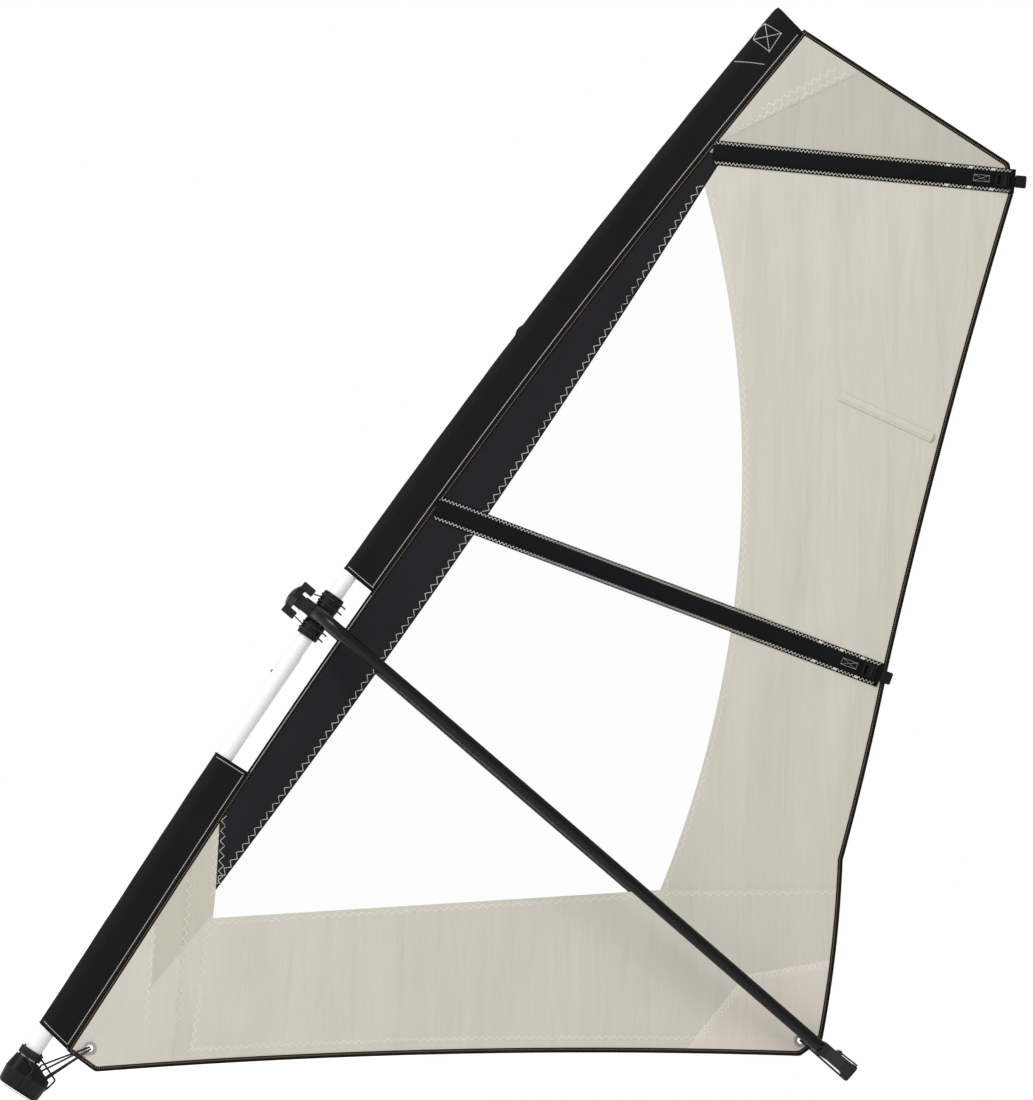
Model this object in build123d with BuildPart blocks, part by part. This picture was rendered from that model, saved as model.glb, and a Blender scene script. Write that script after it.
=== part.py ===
"""Windsurf sail rig: bent sectional mast, luff-sleeve sail with battens, and a wishbone boom.

Frame: millimetres, origin at the mouth of the mast foot's socket, +Z up the mast, +X aft towards
the leech, and the sail in the plane Y = 0. The near side of the rig is at -Y.
"""
from build123d import *
from math import asin, atan2, cos, hypot, radians, sin
import os

os.makedirs("parts", exist_ok=True)

# ---- mast ----
MAST_HEIGHT = 2918.0        # along the bent centreline, foot to sleeve head
BEND_START = 600.0          # the mast is straight below this height
BEND_RADIUS = 19000.0       # and bends aft above it
LOWER_TUBE_OD = 38.0
SLIDE_GAP = 0.1             # radial gap between one tube and the next
FOOT_TUBE_WALL = 1.4
TUBE_WALL = 1.9
TOP_TUBE_WALL = 1.6
FOOT_TUBE_OD = LOWER_TUBE_OD + 2 * (SLIDE_GAP + FOOT_TUBE_WALL)
MIDDLE_TUBE_OD = LOWER_TUBE_OD - 2 * (SLIDE_GAP + TUBE_WALL)
TOP_TUBE_OD = MIDDLE_TUBE_OD - 2 * (SLIDE_GAP + TUBE_WALL)
FOOT_TUBE_TOP = 250.0
HEAD_HEIGHT = 1236.0        # height of the boom head along the mast
HEAD_ABOVE_JOINT = 100.0    # the boom head clamps the middle tube, above its joint
LOWER_TUBE_TOP = HEAD_HEIGHT - HEAD_ABOVE_JOINT
MIDDLE_TUBE_TOP = 2060.0
TUBE_OVERLAP = 130.0        # length of one tube inside the next
LOWER_BUTTON_HEIGHT = LOWER_TUBE_TOP - 60.0
UPPER_BUTTON_HEIGHT = MIDDLE_TUBE_TOP - 57.0
BUTTON_RADIUS = 3.4
BUTTON_STAND_OUT = 4.2
BUTTON_GAP = 0.15

# ---- mast foot ----
FOOT_HEIGHT = 72.0
FOOT_RIM = 9.5              # the foot's nose stands this far outside the mast tube
FOOT_NOSE_RADIUS = FOOT_TUBE_OD / 2 + FOOT_RIM
FOOT_NOSE_X = -4.0
FOOT_TAIL_RADIUS = 26.0
FOOT_TAIL_X = FOOT_TUBE_OD / 2 + 24.5
FOOT_WAIST_HEIGHT = 38.0
SOCKET_RADIUS = 12.0
SOCKET_DEPTH = 40.0
TUBE_SEAT_HEIGHT = 48.0
EAR_TOP = 97.0
EAR_WIDTH = 15.0
EAR_THICKNESS = 2.6
FOOT_SLOT_WIDTH = 9.0
FOOT_SHEAVES = ((FOOT_TAIL_X - 3, 51.0), (FOOT_TAIL_X + 16, 38.0))   # (X, Z) of the two sheave pins
ROPE = 4.4
ROPE_GAP = 0.3
THIN_ROPE = 2.6
SHEAVE_RADIUS = 9.0
SHEAVE_GROOVE = ROPE / 2 + 0.7
SHEAVE_WIDTH = 7.6
PIN_RADIUS = 2.5
RUNNING_GAP = 0.06
FOOT_CLEAT = (24.0, 27.0)   # (X, Z) of the cleat's middle on the near face
FOOT_WELL = (FOOT_TAIL_X - 12, -FOOT_SLOT_WIDTH / 2 - ROPE / 2 - 2.8, 58.0)

# ---- sail ----
CLOTH = 1.0
FILM = 0.6
LUFF_OFFSET = 60.0          # from mast centreline to the sleeve's seam
BINDING_WIDTH = 11.0
BINDING_THICKNESS = 2.4
TACK_Z = 133.0
HEAD_Z = 2904.0
HEAD_CORNER = (742.0, HEAD_Z)
UPPER_LEECH = (787.0, 2848.0)
LOWER_LEECH = (1121.0, 1821.0)
UPPER_HOLLOW = (955.0, 2300.0)
LOWER_HOLLOWS = ((1210.0, 1582.0), (1267.0, 1411.0), (1352.0, 1256.0))   # two arcs
CLEW_TOP = (1444.0, 1054.0)
CLEW_BOTTOM = (1422.0, 998.0)
FOOT_HOLLOW = (781.0, 589.0)
TACK_BOTTOM = (140.0, 128.0)
WINDOW_TACK = (173.0, 551.0)
WINDOW_CLEW = (965.0, 1137.0)
WINDOW_BELLY = (696.0, 1877.0)
WINDOW_HEAD = (205.0, 2492.0)
LUFF_PANEL_FOOT = (145.0, 606.0)
LUFF_PANEL_BELLY = (197.5, 1610.0)
TACK_APEX = (66.0, 752.0)
TACK_PANEL_FOOT = (301.0, 250.0)
FOOT_SEAM_LEECH = (1320.0, 1372.0)
EYELET_RADIUS = 14.0
EYELET_HOLE = 7.5
EYELET_NECK = 8.8
EYELET_THICKNESS = 5.0
TACK_EYELET = (102.0, 165.0)
CLEW_EYELET = (1404.0, 1027.0)

# ---- luff sleeve ----
SLEEVE_WALL = 1.1
SLEEVE_GAP = 0.4
SLEEVE_BUMP = 3.0           # how far the cloth lies outside a snap button
LOWER_SLEEVE = (141.0, 860.0)
UPPER_SLEEVE_FOOT = 1349.0
SEAM_THICKNESS = 2.4
SEAM_WIDTH = 5.0

# ---- battens ----
UPPER_BATTEN = ((179.0, 2565.3), (774.0, 2875.4))     # pocket's middle line, luff to leech
LOWER_BATTEN = ((92.0, 1574.7), (1117.0, 1797.7))
SHORT_BATTEN = ((705.0, 2266.0), (930.0, 2300.0))
POCKET_WIDTH = 54.0
POCKET_DEPTH = 6.0
BATTEN_WIDTH = 28.0
BATTEN_THICKNESS = 3.0
BATTEN_GAP = 0.3
SHORT_POCKET_WIDTH = 20.0
SHORT_BATTEN_WIDTH = 10.0
BUCKLE_LENGTH = 31.0
BUCKLE_WIDTH = 29.0
BUCKLE_THICKNESS = 5.0
BUCKLE_SETBACK = 29.0       # from pocket end back to the buckle's middle
STRAP_WIDTH = 20.0
STRAP_THICKNESS = 1.4
CAP_LENGTH = 24.0
CAP_WIDTH = 27.0
CAP_DEPTH = 11.0

# ---- boom head ----
PIVOT_AHEAD = 9.6           # pivot axis ahead of the mast centreline
MAST_GAP = 0.2
CUFF_WALL = 7.8
HEAD_BORE = MIDDLE_TUBE_OD / 2 + MAST_GAP
CUFF_RADIUS = HEAD_BORE + CUFF_WALL
SADDLE_HEIGHT = 34.0
CUFF_HEIGHT = 38.0
CUFF_SLIT = 5.0
CUFF_GROOVE = 2.0
PIVOT_BOSS_RADIUS = 11.0
PIVOT_BOSS_REACH = CUFF_RADIUS + 2.0
PIVOT_PIN_RADIUS = 6.0
CHEEK_RADIUS = 16.0
CHEEK_THICKNESS = 9.0
CHEEK_GAP = 0.3
NECK_BACK = PIVOT_AHEAD - CUFF_RADIUS - 17.6    # distances along the boom from the pivot
NECK_FRONT = NECK_BACK - 19.0
NECK_DROP = -4.0            # middle of the neck below the pivot
NECK_HALF_HEIGHT = 15.0
NECK_HALF_WIDTH = 18.0
PLATE_FRONT = NECK_FRONT - 14.0
EAR_BACK = NECK_BACK - 1.0
EAR_OUTER = 41.0            # ear edges, measured from the neck's middle
EAR_INNER_EDGE = 23.0
PLATE_HALF_WIDTH = 15.0
NOSE_RADIUS = 26.0
NOSE_BULGE = 9.0

# ---- wishbone boom ----
BOOM_DROP = 7.8             # degrees below the frame's X axis
BOOM_LENGTH = 1470.0        # pivot to the face of the tail fitting
ARM_OD = 24.0
ARM_WALL = 1.5
GRIP_GAP = 0.1
GRIP_WALL = 2.2
GRIP_OD = ARM_OD + 2 * GRIP_WALL
SOCKET_RADIUS_OUT = ARM_OD / 2 + 4.0
ARM_START = PIVOT_BOSS_REACH + CHEEK_GAP + CHEEK_THICKNESS + 3.7
SOCKET_END = ARM_START + 22.0
FRONT_BEND_END = (64.6, 136.3)
TAIL_HALF_SPACING = 31.0
TAIL_LENGTH = 83.0
TAIL_WRAP = 10.0            # length of the tail fitting that surrounds the arm ends
TAIL_HALF_HEIGHT = GRIP_OD / 2 + 2.3
TAIL_BELLY = 12.0
TAIL_HALF_WIDTH = TAIL_HALF_SPACING + GRIP_OD / 2 + 2.8
TAIL_SLOT_WIDTH = 9.0
TAIL_SHEAVE_X = 73.7
TAIL_SHEAVE_Z = 9.2
TAIL_SHEAVE_RADIUS = 8.6
TAIL_PIN_REACH = 15.0
TIE_HOLE = (10.0, -5.0)     # (Y, Z) of the hole for the outhaul's fixed end
SPIGOT_LENGTH = 25.0
LEVER_HINGE = (30.0, 18.5)  # behind the arm ends, above the boom's axis
LEVER_LENGTH = 51.0
LEVER_THICKNESS = 3.6


def finish(piece, name):
    """Label a finished piece and write it as one STEP file."""
    piece.part.label = name
    export_step(piece.part, f"parts/{name}.step")
    return piece.part


# ---------------------------------------------------------------- mast centreline
def mast_turn(height):
    """Angle in radians that the mast has leaned aft by at a height."""
    return max(0.0, height - BEND_START) / BEND_RADIUS


def mast_point(height, aft=0.0):
    """(X, Z) of the point a distance aft of the mast's centreline."""
    turn = mast_turn(height)
    x = BEND_RADIUS * (1 - cos(turn)) + aft * cos(turn)
    z = min(height, BEND_START) + BEND_RADIUS * sin(turn) - aft * sin(turn)
    return (x, z)


def mast_plane(height):
    """Plane square to the mast, with local x pointing aft."""
    turn = mast_turn(height)
    x, z = mast_point(height)
    return Plane(origin=(x, 0, z), x_dir=(cos(turn), 0, -sin(turn)), z_dir=(sin(turn), 0, cos(turn)))


def mast_edges(low, high, aft=0.0):
    """Lines along the mast between two heights, drawn into the open BuildLine."""
    if low < BEND_START:
        Line(mast_point(low, aft), mast_point(BEND_START, aft))
    start = max(low, BEND_START)
    ThreePointArc(mast_point(start, aft), mast_point((start + high) / 2, aft), mast_point(high, aft))


def front_plane(height):
    """Plane through the mast's centreline at a height, facing forward."""
    x, z = mast_point(height)
    return Plane(origin=(x, 0, z), x_dir=(0, 1, 0), z_dir=-mast_plane(height).x_dir)


def mast_tube(low, high, outer, inner, button_heights=()):
    """One mast tube following the bend, with button holes through its front wall."""
    with BuildPart() as tube:
        with BuildLine(Plane.XZ) as run:
            if high <= BEND_START:
                Line(mast_point(low), mast_point(high))
            else:
                mast_edges(low, high)
        with BuildSketch(mast_plane(low)):
            Circle(outer / 2)
            Circle(inner / 2, mode=Mode.SUBTRACT)
        sweep(path=run.wires()[0])
        for height in button_heights:
            with BuildSketch(front_plane(height)):
                Circle(BUTTON_RADIUS + BUTTON_GAP)
            extrude(amount=outer, mode=Mode.SUBTRACT)
    return tube


LOWER_TUBE_ID = MIDDLE_TUBE_OD + 2 * SLIDE_GAP
MIDDLE_TUBE_ID = TOP_TUBE_OD + 2 * SLIDE_GAP
TOP_TUBE_ID = TOP_TUBE_OD - 2 * TOP_TUBE_WALL

foot_tube = mast_tube(TUBE_SEAT_HEIGHT, FOOT_TUBE_TOP, FOOT_TUBE_OD, LOWER_TUBE_OD + 2 * SLIDE_GAP)
finish(foot_tube, "mast_foot_tube")

lower_tube = mast_tube(TUBE_SEAT_HEIGHT, LOWER_TUBE_TOP, LOWER_TUBE_OD, LOWER_TUBE_ID,
                       [LOWER_BUTTON_HEIGHT])
finish(lower_tube, "mast_lower_tube")

middle_tube = mast_tube(LOWER_TUBE_TOP - TUBE_OVERLAP, MIDDLE_TUBE_TOP, MIDDLE_TUBE_OD, MIDDLE_TUBE_ID,
                        [LOWER_BUTTON_HEIGHT, UPPER_BUTTON_HEIGHT])
finish(middle_tube, "mast_middle_tube")

PLUG_TOP = MAST_HEIGHT - 4.0
PLUG_RIM = 5.0
top_tube = mast_tube(MIDDLE_TUBE_TOP - TUBE_OVERLAP, PLUG_TOP - PLUG_RIM, TOP_TUBE_OD, TOP_TUBE_ID,
                     [UPPER_BUTTON_HEIGHT])
finish(top_tube, "mast_top_tube")

with BuildPart() as top_plug:
    with BuildSketch(mast_plane(PLUG_TOP - PLUG_RIM)):
        Circle(TOP_TUBE_OD / 2)
    extrude(amount=PLUG_RIM)
    fillet(top_plug.edges().group_by(Axis.Z)[-1], 2.0)
    with BuildSketch(mast_plane(PLUG_TOP - PLUG_RIM)):
        Circle(TOP_TUBE_ID / 2 - SLIDE_GAP)
    extrude(amount=-22.0)
finish(top_plug, "mast_top_plug")


def snap_button(height, outer_diameter, inner_diameter):
    """Domed spring button that stands out of the front of a mast joint."""
    tip = outer_diameter / 2 + BUTTON_STAND_OUT
    root = inner_diameter / 2 - 6.5
    with BuildPart() as button:
        with BuildSketch(front_plane(height).offset(root)):
            Circle(BUTTON_RADIUS)
        extrude(amount=tip - root)
        fillet(button.faces().sort_by(Axis.X)[0].edges(), 2.2)
    return button


lower_button = snap_button(LOWER_BUTTON_HEIGHT, LOWER_TUBE_OD, MIDDLE_TUBE_ID)
finish(lower_button, "snap_button_lower")
upper_button = snap_button(UPPER_BUTTON_HEIGHT, MIDDLE_TUBE_OD, TOP_TUBE_ID)
finish(upper_button, "snap_button_upper")

# ---------------------------------------------------------------- mast foot
EAR_INNER = FOOT_TUBE_OD / 2 + MAST_GAP
COLLAR_RADIUS = EAR_INNER + EAR_THICKNESS


def foot_outline(nose, tail):
    """Egg-shaped plan of the foot, drawn into the open BuildSketch."""
    with BuildSketch(mode=Mode.PRIVATE) as egg:
        with Locations((FOOT_NOSE_X, 0)):
            Circle(nose)
        with Locations((FOOT_TAIL_X, 0)):
            Circle(tail)
        make_hull()
    add(egg.sketch)


with BuildPart() as foot_cup:
    with BuildSketch(Plane.XY.offset(FOOT_WAIST_HEIGHT)):
        foot_outline(FOOT_NOSE_RADIUS, FOOT_TAIL_RADIUS)
    extrude(amount=FOOT_HEIGHT - FOOT_WAIST_HEIGHT, taper=10)
    with BuildSketch(Plane.XY.offset(FOOT_WAIST_HEIGHT)):
        foot_outline(FOOT_NOSE_RADIUS, FOOT_TAIL_RADIUS)
    extrude(amount=-FOOT_WAIST_HEIGHT, taper=6)
    chamfer(foot_cup.faces().sort_by(Axis.Z)[0].edges(), 5.0)
    # the top slopes down behind the collar
    with BuildSketch(Plane.XZ):
        Polygon((COLLAR_RADIUS + 4, FOOT_HEIGHT), (FOOT_TAIL_X + 45, FOOT_HEIGHT - 30),
                (FOOT_TAIL_X + 45, FOOT_HEIGHT + 20), (COLLAR_RADIUS + 4, FOOT_HEIGHT + 20), align=None)
    extrude(amount=60, both=True, mode=Mode.SUBTRACT)
    # two ears that the line is lashed to
    with BuildSketch(Plane.XY.offset(FOOT_HEIGHT - 6)):
        with BuildSketch(mode=Mode.PRIVATE) as ear_plan:
            Circle(COLLAR_RADIUS)
            Circle(EAR_INNER, mode=Mode.SUBTRACT)
            Rectangle(2 * COLLAR_RADIUS, EAR_WIDTH, mode=Mode.INTERSECT)
        add(ear_plan.sketch)
    extrude(amount=EAR_TOP - FOOT_HEIGHT + 6)
    # seat of the mast tube, and socket for the board's joint
    with BuildSketch(Plane.XY.offset(TUBE_SEAT_HEIGHT)):
        Circle(FOOT_TUBE_OD / 2 + 0.05)
    extrude(amount=FOOT_HEIGHT, mode=Mode.SUBTRACT)
    with BuildSketch(Plane.XY):
        Circle(SOCKET_RADIUS)
    extrude(amount=SOCKET_DEPTH, mode=Mode.SUBTRACT)
    # slot for the sheaves
    with BuildSketch(Plane.XZ):
        Polygon((FOOT_TAIL_X - 16, 42), (FOOT_TAIL_X - 9, 34), (FOOT_TAIL_X + 5, 24), (FOOT_TAIL_X + 35, 24),
                (FOOT_TAIL_X + 35, 90), (FOOT_TAIL_X - 16, 90), align=None)
    extrude(amount=FOOT_SLOT_WIDTH / 2, both=True, mode=Mode.SUBTRACT)
    # well for the downhaul's fixed end
    with BuildSketch(Plane.XY.offset(FOOT_WELL[2])):
        with Locations(FOOT_WELL[:2]):
            Circle(ROPE / 2 + ROPE_GAP)
    extrude(amount=FOOT_HEIGHT, mode=Mode.SUBTRACT)
    for pin_x, pin_z in FOOT_SHEAVES:
        with BuildSketch(Plane.XZ):
            with Locations((pin_x, pin_z)):
                Circle(PIN_RADIUS)
        extrude(amount=16, both=True, mode=Mode.SUBTRACT)
finish(foot_cup, "mast_foot_cup")


def sheave(center, radius, width, bore):
    """Grooved rope sheave turning about a Y axis."""
    groove = SHEAVE_GROOVE
    with BuildPart() as wheel:
        with BuildSketch(Plane.XY):
            with BuildLine():
                Polyline((bore, -width / 2), (radius, -width / 2), (radius, -groove))
                ThreePointArc((radius, -groove), (radius - groove, 0), (radius, groove))
                Polyline((radius, groove), (radius, width / 2), (bore, width / 2), (bore, -width / 2))
            make_face()
        revolve(axis=Axis.Y)
    moved = wheel.part.moved(Location((center[0], 0, center[1])))
    with BuildPart() as placed:
        add(moved)
    return placed


for number, center in enumerate(FOOT_SHEAVES, start=1):
    foot_sheave = sheave(center, SHEAVE_RADIUS, SHEAVE_WIDTH, PIN_RADIUS + RUNNING_GAP)
    finish(foot_sheave, f"foot_sheave_{number}")

with BuildPart() as foot_pins:
    for pin_x, pin_z in FOOT_SHEAVES:
        with BuildSketch(Plane.XZ):
            with Locations((pin_x, pin_z)):
                Circle(PIN_RADIUS)
        extrude(amount=16, both=True)
finish(foot_pins, "foot_sheave_pins")

# ---------------------------------------------------------------- sail outline
def height_at(z, aft):
    """Height along the mast at which the line a distance aft of it reaches a level z."""
    height = z
    for _ in range(20):
        height += z - mast_point(height, aft)[1]
    return height


LUFF_TOP = height_at(HEAD_Z, LUFF_OFFSET)
LUFF_HEAD = mast_point(LUFF_TOP, LUFF_OFFSET)
TACK = (LUFF_OFFSET, TACK_Z)

with BuildSketch() as sail:
    with BuildLine():
        mast_edges(TACK_Z, LUFF_TOP, LUFF_OFFSET)
        Line(LUFF_HEAD, HEAD_CORNER)
        Line(HEAD_CORNER, UPPER_LEECH)
        ThreePointArc(UPPER_LEECH, UPPER_HOLLOW, LOWER_LEECH)
        ThreePointArc(LOWER_LEECH, LOWER_HOLLOWS[0], LOWER_HOLLOWS[1])
        ThreePointArc(LOWER_HOLLOWS[1], LOWER_HOLLOWS[2], CLEW_TOP)
        Line(CLEW_TOP, CLEW_BOTTOM)
        ThreePointArc(CLEW_BOTTOM, FOOT_HOLLOW, TACK_BOTTOM)
        Line(TACK_BOTTOM, TACK)
    make_face()

with BuildSketch() as cloth:
    add(sail.sketch)
    offset(amount=-BINDING_WIDTH, kind=Kind.ARC, mode=Mode.REPLACE)

with BuildSketch() as hem:
    add(sail.sketch)
    add(cloth.sketch, mode=Mode.SUBTRACT)

FAR = 4000.0


def beyond(start, end, side):
    """Half-plane on one side of the line from start to end, drawn into the open BuildSketch."""
    dx, dz = end[0] - start[0], end[1] - start[1]
    length = hypot(dx, dz)
    ux, uz = dx / length * FAR, dz / length * FAR
    nx, nz = -uz * side, ux * side
    low, high = (start[0] - ux, start[1] - uz), (end[0] + ux, end[1] + uz)
    return Polygon(low, high, (high[0] + nx, high[1] + nz), (low[0] + nx, low[1] + nz), align=None)


with BuildSketch() as above_upper:
    beyond(*UPPER_BATTEN, 1)
with BuildSketch() as above_lower:
    beyond(*LOWER_BATTEN, 1)
with BuildSketch() as below_foot_seam:
    with BuildLine():
        Polyline((-FAR, 551), WINDOW_TACK, WINDOW_CLEW, FOOT_SEAM_LEECH, (FAR, 2300), (FAR, -FAR),
                 (-FAR, -FAR), (-FAR, 551))
    make_face()
with BuildSketch() as tack_side:
    with BuildLine():
        Polyline(TACK_APEX, LUFF_PANEL_FOOT, WINDOW_TACK, TACK_PANEL_FOOT, (301, 0), (-FAR, 0), (-FAR, 752),
                 TACK_APEX)
    make_face()
with BuildSketch() as luff_side:
    with BuildLine():
        ThreePointArc(LUFF_PANEL_FOOT, LUFF_PANEL_BELLY, WINDOW_HEAD)
        Polyline(WINDOW_HEAD, (WINDOW_HEAD[0], FAR), (-FAR, FAR), (-FAR, 0), (145, 0), LUFF_PANEL_FOOT)
    make_face()
with BuildSketch() as window_side:
    with BuildLine():
        ThreePointArc(WINDOW_CLEW, WINDOW_BELLY, WINDOW_HEAD)
        Polyline(WINDOW_HEAD, (WINDOW_HEAD[0], FAR), (-FAR, FAR), (-FAR, 551), WINDOW_TACK, WINDOW_CLEW)
    make_face()
with BuildSketch() as eyelet_holes:
    with Locations(TACK_EYELET, CLEW_EYELET):
        Circle(EYELET_NECK)


def panel(inside, outside, thickness=CLOTH, whole=None):
    """Flat panel: the sail's cloth within some regions and outside others."""
    with BuildPart() as sheet:
        with BuildSketch(Plane.XZ) as outline:
            add((whole or cloth).sketch)
            for region in inside:
                add(region.sketch, mode=Mode.INTERSECT)
            for region in outside:
                add(region.sketch, mode=Mode.SUBTRACT)
        extrude(amount=thickness / 2, both=True)
    return sheet


head_panel = panel([above_upper], [])
finish(head_panel, "head_panel")
luff_panel = panel([luff_side], [above_upper, tack_side])
finish(luff_panel, "luff_panel")
tack_panel = panel([tack_side], [eyelet_holes])
finish(tack_panel, "tack_panel")
window_film = panel([window_side], [above_upper, luff_side, tack_side], FILM)
finish(window_film, "window_film")
upper_leech_panel = panel([above_lower], [above_upper, luff_side, window_side])
finish(upper_leech_panel, "leech_panel_upper")
lower_leech_panel = panel([], [above_lower, window_side, below_foot_seam, tack_side])
finish(lower_leech_panel, "leech_panel_lower")
foot_panel = panel([below_foot_seam], [tack_side, eyelet_holes])
finish(foot_panel, "foot_panel")

# ---------------------------------------------------------------- patches, bindings and eyelets
HEAD_PATCH = ((189.0, 2610.0), (345.0, 2874.0))
TACK_PATCH = ((249.0, 280.0), (73.0, 612.0))
CLEW_PATCH = ((1206.0, 913.0), (1224.0, 1082.0), (1363.0, 1211.0))
PATCH = 0.5


def patch(limit, holes):
    """Reinforcement doubling the cloth on both faces inside a limit region."""
    with BuildPart() as layers:
        for side in (1, -1):
            with BuildSketch(Plane.XZ.offset(side * CLOTH / 2)):
                add(cloth.sketch)
                add(limit.sketch, mode=Mode.INTERSECT)
                add(holes.sketch, mode=Mode.SUBTRACT)
            extrude(amount=side * PATCH)
    return layers


with BuildSketch() as tack_limit:
    beyond(*TACK_PATCH, 1)
with BuildSketch() as clew_limit:
    with BuildLine():
        Polyline(*CLEW_PATCH, (1600, 1400), (1600, 600), (1206, 600), CLEW_PATCH[0])
    make_face()
with BuildSketch() as head_wedge:
    beyond(*HEAD_PATCH, 1)
    add(above_upper.sketch, mode=Mode.INTERSECT)

finish(patch(head_wedge, eyelet_holes), "head_patch")
finish(patch(tack_limit, eyelet_holes), "tack_patch")
finish(patch(clew_limit, eyelet_holes), "clew_patch")


def binding(corners):
    """Folded tape along the stretch of the sail's edge that lies inside a polygon."""
    with BuildPart() as tape:
        with BuildSketch(Plane.XZ):
            add(hem.sketch)
            Polygon(*corners, align=None, mode=Mode.INTERSECT)
        extrude(amount=BINDING_THICKNESS / 2, both=True)
    return tape


LUFF_CUT = (LUFF_OFFSET + BINDING_WIDTH, TACK_Z + 30)
luff_head = (LUFF_HEAD[0] + BINDING_WIDTH, HEAD_Z + 40)
luff_inner = (LUFF_HEAD[0] + BINDING_WIDTH, HEAD_Z - BINDING_WIDTH)
batten_end = (LOWER_LEECH[0] + 80.0, LOWER_LEECH[1])
batten_inner = (LOWER_LEECH[0] - 120.0, LOWER_LEECH[1])
finish(binding([(-FAR, -FAR), LUFF_CUT, (155, 1000), (300, 2500), luff_inner, luff_head, (-FAR, FAR)]),
       "binding_luff")
finish(binding([luff_head, luff_inner, (500, 2700), UPPER_LEECH, (FAR, 2848), (FAR, FAR), (200, FAR)]),
       "binding_head")
finish(binding([UPPER_LEECH, (500, 2700), batten_inner, batten_end, (FAR, 1821), (FAR, 2848)]),
       "binding_leech_upper")
finish(binding([batten_end, batten_inner, (1000, 1300), (1380, 1032), (FAR, 1032), (FAR, 1821)]),
       "binding_leech_lower")
finish(binding([(FAR, 1032), (1380, 1032), (800, 700), LUFF_CUT, (-FAR, -FAR), (FAR, -FAR)]), "binding_foot")


def eyelet(center):
    """Metal ring pressed through the cloth, with a flange on each face."""
    inner, outer = EYELET_HOLE, EYELET_RADIUS
    face, lip = EYELET_THICKNESS / 2, CLOTH / 2 + PATCH + 0.1
    with BuildPart() as ring:
        with BuildSketch(Plane.XY):
            with BuildLine():
                Polyline((EYELET_NECK - 0.1, -lip), (outer, -lip), (outer - 0.8, -face), (inner + 1, -face))
                ThreePointArc((inner + 1, -face), (inner, 0), (inner + 1, face))
                Polyline((inner + 1, face), (outer - 0.8, face), (outer, lip), (EYELET_NECK - 0.1, lip),
                         (EYELET_NECK - 0.1, -lip))
            make_face()
        revolve(axis=Axis.Y)
    with BuildPart() as placed:
        add(ring.part.moved(Location((center[0], 0, center[1]))))
    return placed


with BuildPart() as eyelets:
    for center in (TACK_EYELET, CLEW_EYELET):
        add(eyelet(center).part)
finish(eyelets, "sail_eyelets")

# ---------------------------------------------------------------- luff sleeves
def teardrop(radius, tail, thickness):
    """Section of the sleeve round the mast, drawn into the open BuildSketch."""
    with BuildSketch(mode=Mode.PRIVATE) as drop:
        Circle(radius)
        with Locations((tail - SEAM_WIDTH / 2, 0)):
            Rectangle(SEAM_WIDTH, thickness)
        make_hull()
    add(drop.sketch)


def sleeve_skin(low, high, inner_radius, top_closed, bumps=()):
    """Fabric tube round the mast whose aft edge is the sail's seam; a bump covers a snap button."""
    with BuildPart() as skin:
        with BuildLine(Plane.XZ) as run:
            mast_edges(low, high)
        with BuildSketch(mast_plane(low)):
            teardrop(inner_radius + SLEEVE_WALL, LUFF_OFFSET, SEAM_THICKNESS)
        sweep(path=run.wires()[0])
        for bump in bumps:
            with Locations(bump):
                Sphere(BUTTON_STAND_OUT + SLEEVE_BUMP)
        inner_high = high - 2 * SLEEVE_WALL if top_closed else high
        with BuildLine(Plane.XZ) as inner_run:
            mast_edges(low, inner_high)
        with BuildSketch(mast_plane(low)):
            teardrop(inner_radius, LUFF_OFFSET - SEAM_WIDTH, 0.2)
        sweep(path=inner_run.wires()[0], mode=Mode.SUBTRACT)
        for bump in bumps:
            with Locations(bump):
                Sphere(BUTTON_STAND_OUT + SLEEVE_BUMP - SLEEVE_WALL, mode=Mode.SUBTRACT)
    return skin


lower_sleeve = sleeve_skin(*LOWER_SLEEVE, FOOT_TUBE_OD / 2 + SLEEVE_GAP, False)
finish(lower_sleeve, "luff_sleeve_lower")

button_bump = front_plane(UPPER_BUTTON_HEIGHT).offset(MIDDLE_TUBE_OD / 2)
upper_sleeve = sleeve_skin(UPPER_SLEEVE_FOOT, MAST_HEIGHT, MIDDLE_TUBE_OD / 2 + SLEEVE_GAP, True,
                           [button_bump])
finish(upper_sleeve, "luff_sleeve_upper")

# ---------------------------------------------------------------- battens
POCKET_BACK = BINDING_THICKNESS / 2 + 0.1


def line_length(line):
    return hypot(line[1][0] - line[0][0], line[1][1] - line[0][1])


def batten_plane(line, out):
    """Plane on the near side of the cloth, local x along the batten, local z away from the cloth."""
    (x0, z0), (x1, z1) = line
    length = line_length(line)
    return Plane(origin=(x0, -out, z0), x_dir=((x1 - x0) / length, 0, (z1 - z0) / length), z_dir=(0, -1, 0))


def slab(line, out, thickness, start, end, width, across=0.0):
    """Flat bar lying along a batten's line, added to the open BuildPart."""
    with Locations(batten_plane(line, out + thickness / 2)):
        with Locations(((start + end) / 2, across)):
            Box(end - start, width, thickness)


def pocket(line, back, depth, width, batten_width, batten_thickness):
    """Webbing pocket, open at the leech end, sewn to the near face."""
    length = line_length(line)
    with BuildPart() as web:
        slab(line, back, depth, 0, length, width)
        fillet(web.edges().filter_by(Axis.Y), min(6.0, width / 4))
        with BuildSketch(batten_plane(line, back + (depth - batten_thickness) / 2 - BATTEN_GAP)):
            with Locations((length / 2 + 3, 0)):
                Rectangle(length, batten_width + 2 * BATTEN_GAP)
        extrude(amount=batten_thickness + 2 * BATTEN_GAP, mode=Mode.SUBTRACT)
    return web


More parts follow.
